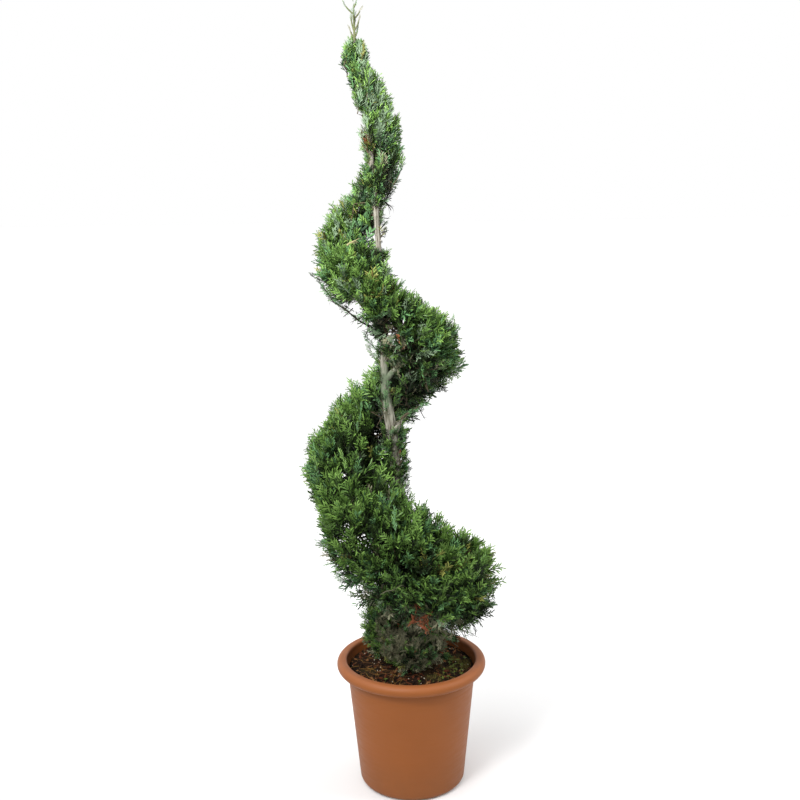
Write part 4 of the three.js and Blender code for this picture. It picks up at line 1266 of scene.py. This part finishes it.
# %% Long shoots
LONG_SHOOTS = (  # colour, narrowness, length of its sprays, and the points that the shoot passes
    ("new_bluish", 0.5, 34, ((-126, -100, 862), (-120, -86, 880), (-115, -66, 902), (-110, -42, 924))),
    ("new_bluish", 0.5, 26, ((-105, -32, 516), (-103, -24, 532), (-99, -14, 552))),
    ("fresh", 0.6, 30, ((-127, -112, 455), (-131, -98, 473))),
    ("bluish", 1.0, 24, ((-56, -6, 676), (-68, -9, 688), (-78, -11, 702))),
    ("mid", 1.0, 22, ((-54, 2, 652), (-66, 4, 662), (-74, 6, 676))),
    ("new_bluish", 0.6, 30, ((-28, -190, 352), (-29, -176, 374))),
    ("mid", 1.0, 26, ((-30, -20, 566), (-25, -27, 586), (-16, -32, 608))),
    ("bluish", 1.0, 24, ((-44, -18, 556), (-47, -25, 578), (-43, -28, 602))),
    ("bronze", 0.5, 24, ((-83, -22, 1228), (-82, -25, 1246), (-79, -26, 1262))),
    # This shoot's sprays take the painted-shade green.
    ("painted_shade", 1.0, 19, ((-121, -104, 774), (-144, -98, 793), (-155, -93, 807), (-166, -88, 821),
                         (-178, -84, 834))),
    ("bluish", 1.0, 17, ((-98, -86, 756), (-110, -95, 765), (-132, -101, 784), (-150, -96, 799),
                         (-160, -90, 813))),
    ("bluish", 1.0, 20, ((-9, -11, 546), (5, -17, 554), (16, -18, 560), (26, -19, 566))))


def feathered(shoots, rng):
    """Sprays that lie close along each given path, ready to be laid."""
    laid = {key: [] for key in ("root", "along", "across", "length", "kind", "plain")}
    for kind, narrow, length, path in shoots:
        path = np.array(path, dtype=float)
        along = unit(unit(np.gradient(path, axis=0)) + rng.uniform(-0.12, 0.12, path.shape) / narrow)
        laid["root"].append(path)
        laid["along"].append(along)
        laid["across"].append(narrow * unit(np.cross(along, (0.3, -1.0, 0.2))))
        laid["length"].append(length * rng.uniform(0.85, 1.15, len(path)))
        laid["kind"].append(np.full(len(path), KINDS.index(kind)))
        laid["plain"].append(np.zeros(len(path), dtype=bool))
    return {key: np.concatenate(values) for key, values in laid.items()}


rng = np.random.default_rng(8)
feathers, kinds = lay_sprays(feathered(LONG_SHOOTS, rng), rng)
stems = [limb(shoot[3], np.linspace(1.1, 0.5, len(shoot[3])), 4) for shoot in LONG_SHOOTS]
strands = join([feathers] + stems)
kinds = np.concatenate([kinds, np.full(len(strands[1]) - len(kinds), KINDS.index("mid"))])
make_piece("long_shoots", on_soil(strands), leaves, kinds=kinds)

# %% [markdown]
# ## Litter, moss and seedlings
# Dead needles and straw lie loose on the compost, most of them on the left and in front. The right side stays
# damp, so moss and a few seedlings have come up there. Each is only a handful of faces, set down many times.

# %% Litter, moss and seedlings
# How many, between which radii, and the mean azimuth and its spread in degrees
STRAW = {"count": 110, "radii": (60, 127), "azimuth": (-140, 75), "half_length": (6, 24), "lift": 1.2}
MOSS = {"count": 7, "radii": (82, 122), "azimuth": (-10, 42), "tips": 100, "patch": 8.5, "edge": 128}
SEEDLINGS = {"count": 26, "radii": (78, 124), "azimuth": (-5, 48), "leaves": 4, "leaf": (3.5, 6.5)}


def strewn(litter, rng):
    """Points on the soil's surface where a kind of litter lies. The front is at -90 degrees."""
    radius = rng.uniform(*litter["radii"], litter["count"])
    azimuth = rng.normal(*litter["azimuth"], litter["count"])
    x, y, _ = radius * level_way(np.radians(azimuth)).T
    return np.column_stack([x, y, soil_height(x, y)])


rng = np.random.default_rng(19)
places = strewn(STRAW, rng)
along, across, _ = tilted_axes(STRAW["count"], 0.14, rng)
straws = []
for spot, ahead, aside in zip(places, along, across):
    length = rng.uniform(*STRAW["half_length"])
    start, end = spot - length * ahead, spot + length * ahead
    middle = spot + rng.uniform(-0.4, 0.4) * length * aside
    path = bend(start, middle, end, 4) + STRAW["lift"] * UP
    path[:, 2] = np.maximum(path[:, 2], soil_height(path[:, 0], path[:, 1]) + 0.4)
    straws.append(limb(path, [rng.uniform(0.5, 0.9)] * 5, 4))
straw = [plain_material("dry_straw", "#80602f", 0.8, 3), plain_material("dead_needles", "#5a3d22", 0.85, 3)]
straw_kind = np.repeat(rng.choice(2, STRAW["count"], p=[0.35, 0.65]), len(straws[0][1]))
make_piece("straw_and_needles", join(straws), straw, kinds=straw_kind)

tips = []
for patch in strewn(MOSS, rng):
    spots = patch[:2] + rng.normal(0, MOSS["patch"], (MOSS["tips"], 2))
    spots = spots[np.hypot(spots[:, 0], spots[:, 1]) < MOSS["edge"]]
    for foot in np.column_stack([spots, soil_height(spots[:, 0], spots[:, 1]) - 0.5]):
        tips.append(limb([foot, foot + rng.uniform(-1.6, 1.6, 3) + (0, 0, rng.uniform(2.5, 4.8))], [1.1], 3))
make_piece("moss", join(tips), [plain_material("cushion_moss", "#5b5428", 0.9, 2)])

LEAF = np.array([(0, 0, 0), (0.32, 0.45, 0.12), (-0.32, 0.45, 0.12), (0, 1, 0)])
LEAF_FACES = np.array([(0, 1, 3), (0, 3, 2)])
seedling_parts = []
for spot in strewn(SEEDLINGS, rng):
    top = spot + (rng.uniform(-2, 2), rng.uniform(-2, 2), rng.uniform(4, 9))
    seedling_parts.append(limb([spot, top], [0.6], 3))
    for turned in once_round(SEEDLINGS["leaves"]):
        heading = turned + rng.uniform(-0.4, 0.4)
        ahead = np.array([np.cos(heading), np.sin(heading), rng.uniform(0.1, 0.5)])
        aside = np.array([-np.sin(heading), np.cos(heading), 0])
        size = rng.uniform(*SEEDLINGS["leaf"])
        leaf = LEAF[:, :1] * aside + LEAF[:, 1:2] * ahead + LEAF[:, 2:] * UP
        seedling_parts.append((top - UP + size * leaf, LEAF_FACES))
seedling_leaf = plain_material("seedling_leaf", "#5d6e2d", 0.6, 4)
make_piece("seedlings", join(seedling_parts), [seedling_leaf])

# %% [markdown]
# ## The leader
# Above the last turn the trunk's tip is left to grow. It is a thin green-brown shoot with nine side shoots
# that start outwards and then turn up beside it. All of them are clad in short sprays that hug the wood.

# %% Leader
LEADER_SHOOTS = (  # share of the way up the leader, azimuth and opening in degrees, length
    (0.04, 170, 26, 19), (0.07, 15, 22, 17), (0.22, 190, 9, 36), (0.26, -10, 26, 24), (0.38, 80, 24, 22),
    (0.44, -100, 20, 22), (0.57, 5, 38, 20), (0.70, 178, 44, 24), (0.88, -20, 30, 10))
LEADER_GAP, SPRAY_PAST_TIP = 0.3, 4
rng = np.random.default_rng(77)
leader_foot, leader_tip = on_axis(TRUNK_TIP) + LEADER_GAP * UP, on_axis(LEADER_TOP) - SPRAY_PAST_TIP * UP
paths = [np.linspace(leader_foot, leader_tip, 8)]
wood = [limb(paths[0], np.linspace(2.6, 1.1, 8), 8)]
for share, azimuth, opening, length in LEADER_SHOOTS:
    foot = leader_foot + share * (leader_tip - leader_foot)
    level, opened = level_way(np.radians(azimuth)), np.radians(opening)
    tip = foot + length * (np.sin(opened) * level + np.cos(opened) * UP)
    paths.append(bend(foot, foot + 0.5 * (tip - foot) + 0.12 * length * level, tip, 4))
    wood.append(limb(paths[-1], np.linspace(1.9, 1.1, 5), 5))
clad = [(("silvery", "grey", "mid")[i % 3], 0.65, 10, path) for i, path in enumerate(paths)]
cladding, kinds = lay_sprays(feathered(clad, rng), rng)
make_piece("leader_sprays", on_soil(cladding), leaves, ["leader"], kinds)
green_bark = plain_material("green_bark", "#5d6242", 0.8, 3)
make_piece("leader_shoot", on_soil(join(wood)), [green_bark], ["leader"])

# %% [markdown]
# ## Floor, light and camera
# The plant stands on a plain pale floor under soft studio light: an even white surround, a broad sky light,
# a broad lamp high on the left and a broader, weaker one on the right. Broad lamps make the soft-edged
# shadows of an overcast day. The camera's place was worked out from the pot, whose rim and foot show as
# ovals.

# %% Floor and light
FLOOR_SIZE, LAMP_SPREAD = 120.0, np.radians(70)
floor_mesh = bpy.data.meshes.new("floor")
square = ((-0.5, -0.5), (0.5, -0.5), (0.5, 0.5), (-0.5, 0.5))
floor_mesh.from_pydata([(FLOOR_SIZE * x, FLOOR_SIZE * y, 0) for x, y in square], [], [(0, 1, 2, 3)])
floor_mesh.materials.append(make_material("pale_floor", {
    "Base Color": "#e6e6e6", "Roughness": 1.0, "Specular IOR Level": 0.0}))
floor = add_object("floor", floor_mesh)

world = bpy.data.worlds.new("white_surround")
world.use_nodes = True
world.node_tree.nodes["Background"].inputs["Color"].default_value = linear("#ffffff")
world.node_tree.nodes["Background"].inputs["Strength"].default_value = 1.0
bpy.context.scene.world = world
bpy.context.scene.view_settings.view_transform = "Standard"


def soft_lamp(name, place_at, aim, size, watts):
    """A square area lamp in metres that faces a point."""
    lamp = bpy.data.lights.new(name, "AREA")
    lamp.size, lamp.energy, lamp.spread = size, watts, LAMP_SPREAD
    holder = add_object(name, lamp)
    holder.location = place_at
    holder.rotation_euler = (Vector(aim) - Vector(place_at)).to_track_quat("-Z", "Y").to_euler()


soft_lamp("high_lamp", (-0.9, -1.5, 2.0), (-0.05, 0, 1.4), 0.6, 17)
soft_lamp("right_lamp", (2.0, -0.4, 1.9), (0, 0, 0.9), 1.0, 5)
sky_light = bpy.data.lights.new("sky_light", "SUN")
sky_light.energy, sky_light.angle = 1.3, np.radians(50)
sky_holder = add_object("sky_light", sky_light)
sky_holder.rotation_euler = Vector((-0.55, -0.5, 1.0)).to_track_quat("Z", "Y").to_euler()

# %% Camera
SENSOR, FOCAL_PIXELS, PICTURE_PIXELS = 36, 1065.4, 800
DOWN, ROLL = np.radians(10.563), np.radians(-0.75)
camera_data = bpy.data.cameras.new("camera")
camera_data.sensor_width = SENSOR
camera_data.lens = SENSOR * FOCAL_PIXELS / PICTURE_PIXELS
camera = add_object("camera", camera_data)
camera.location = (-0.0169, -2.1627, 1.2447)
camera.rotation_euler = (Matrix.Rotation(np.pi / 2 - DOWN, 3, "X") @ Matrix.Rotation(ROLL, 3, "Z")).to_euler()
bpy.context.scene.camera = camera
print("focal length:", round(camera_data.lens, 2), "mm")
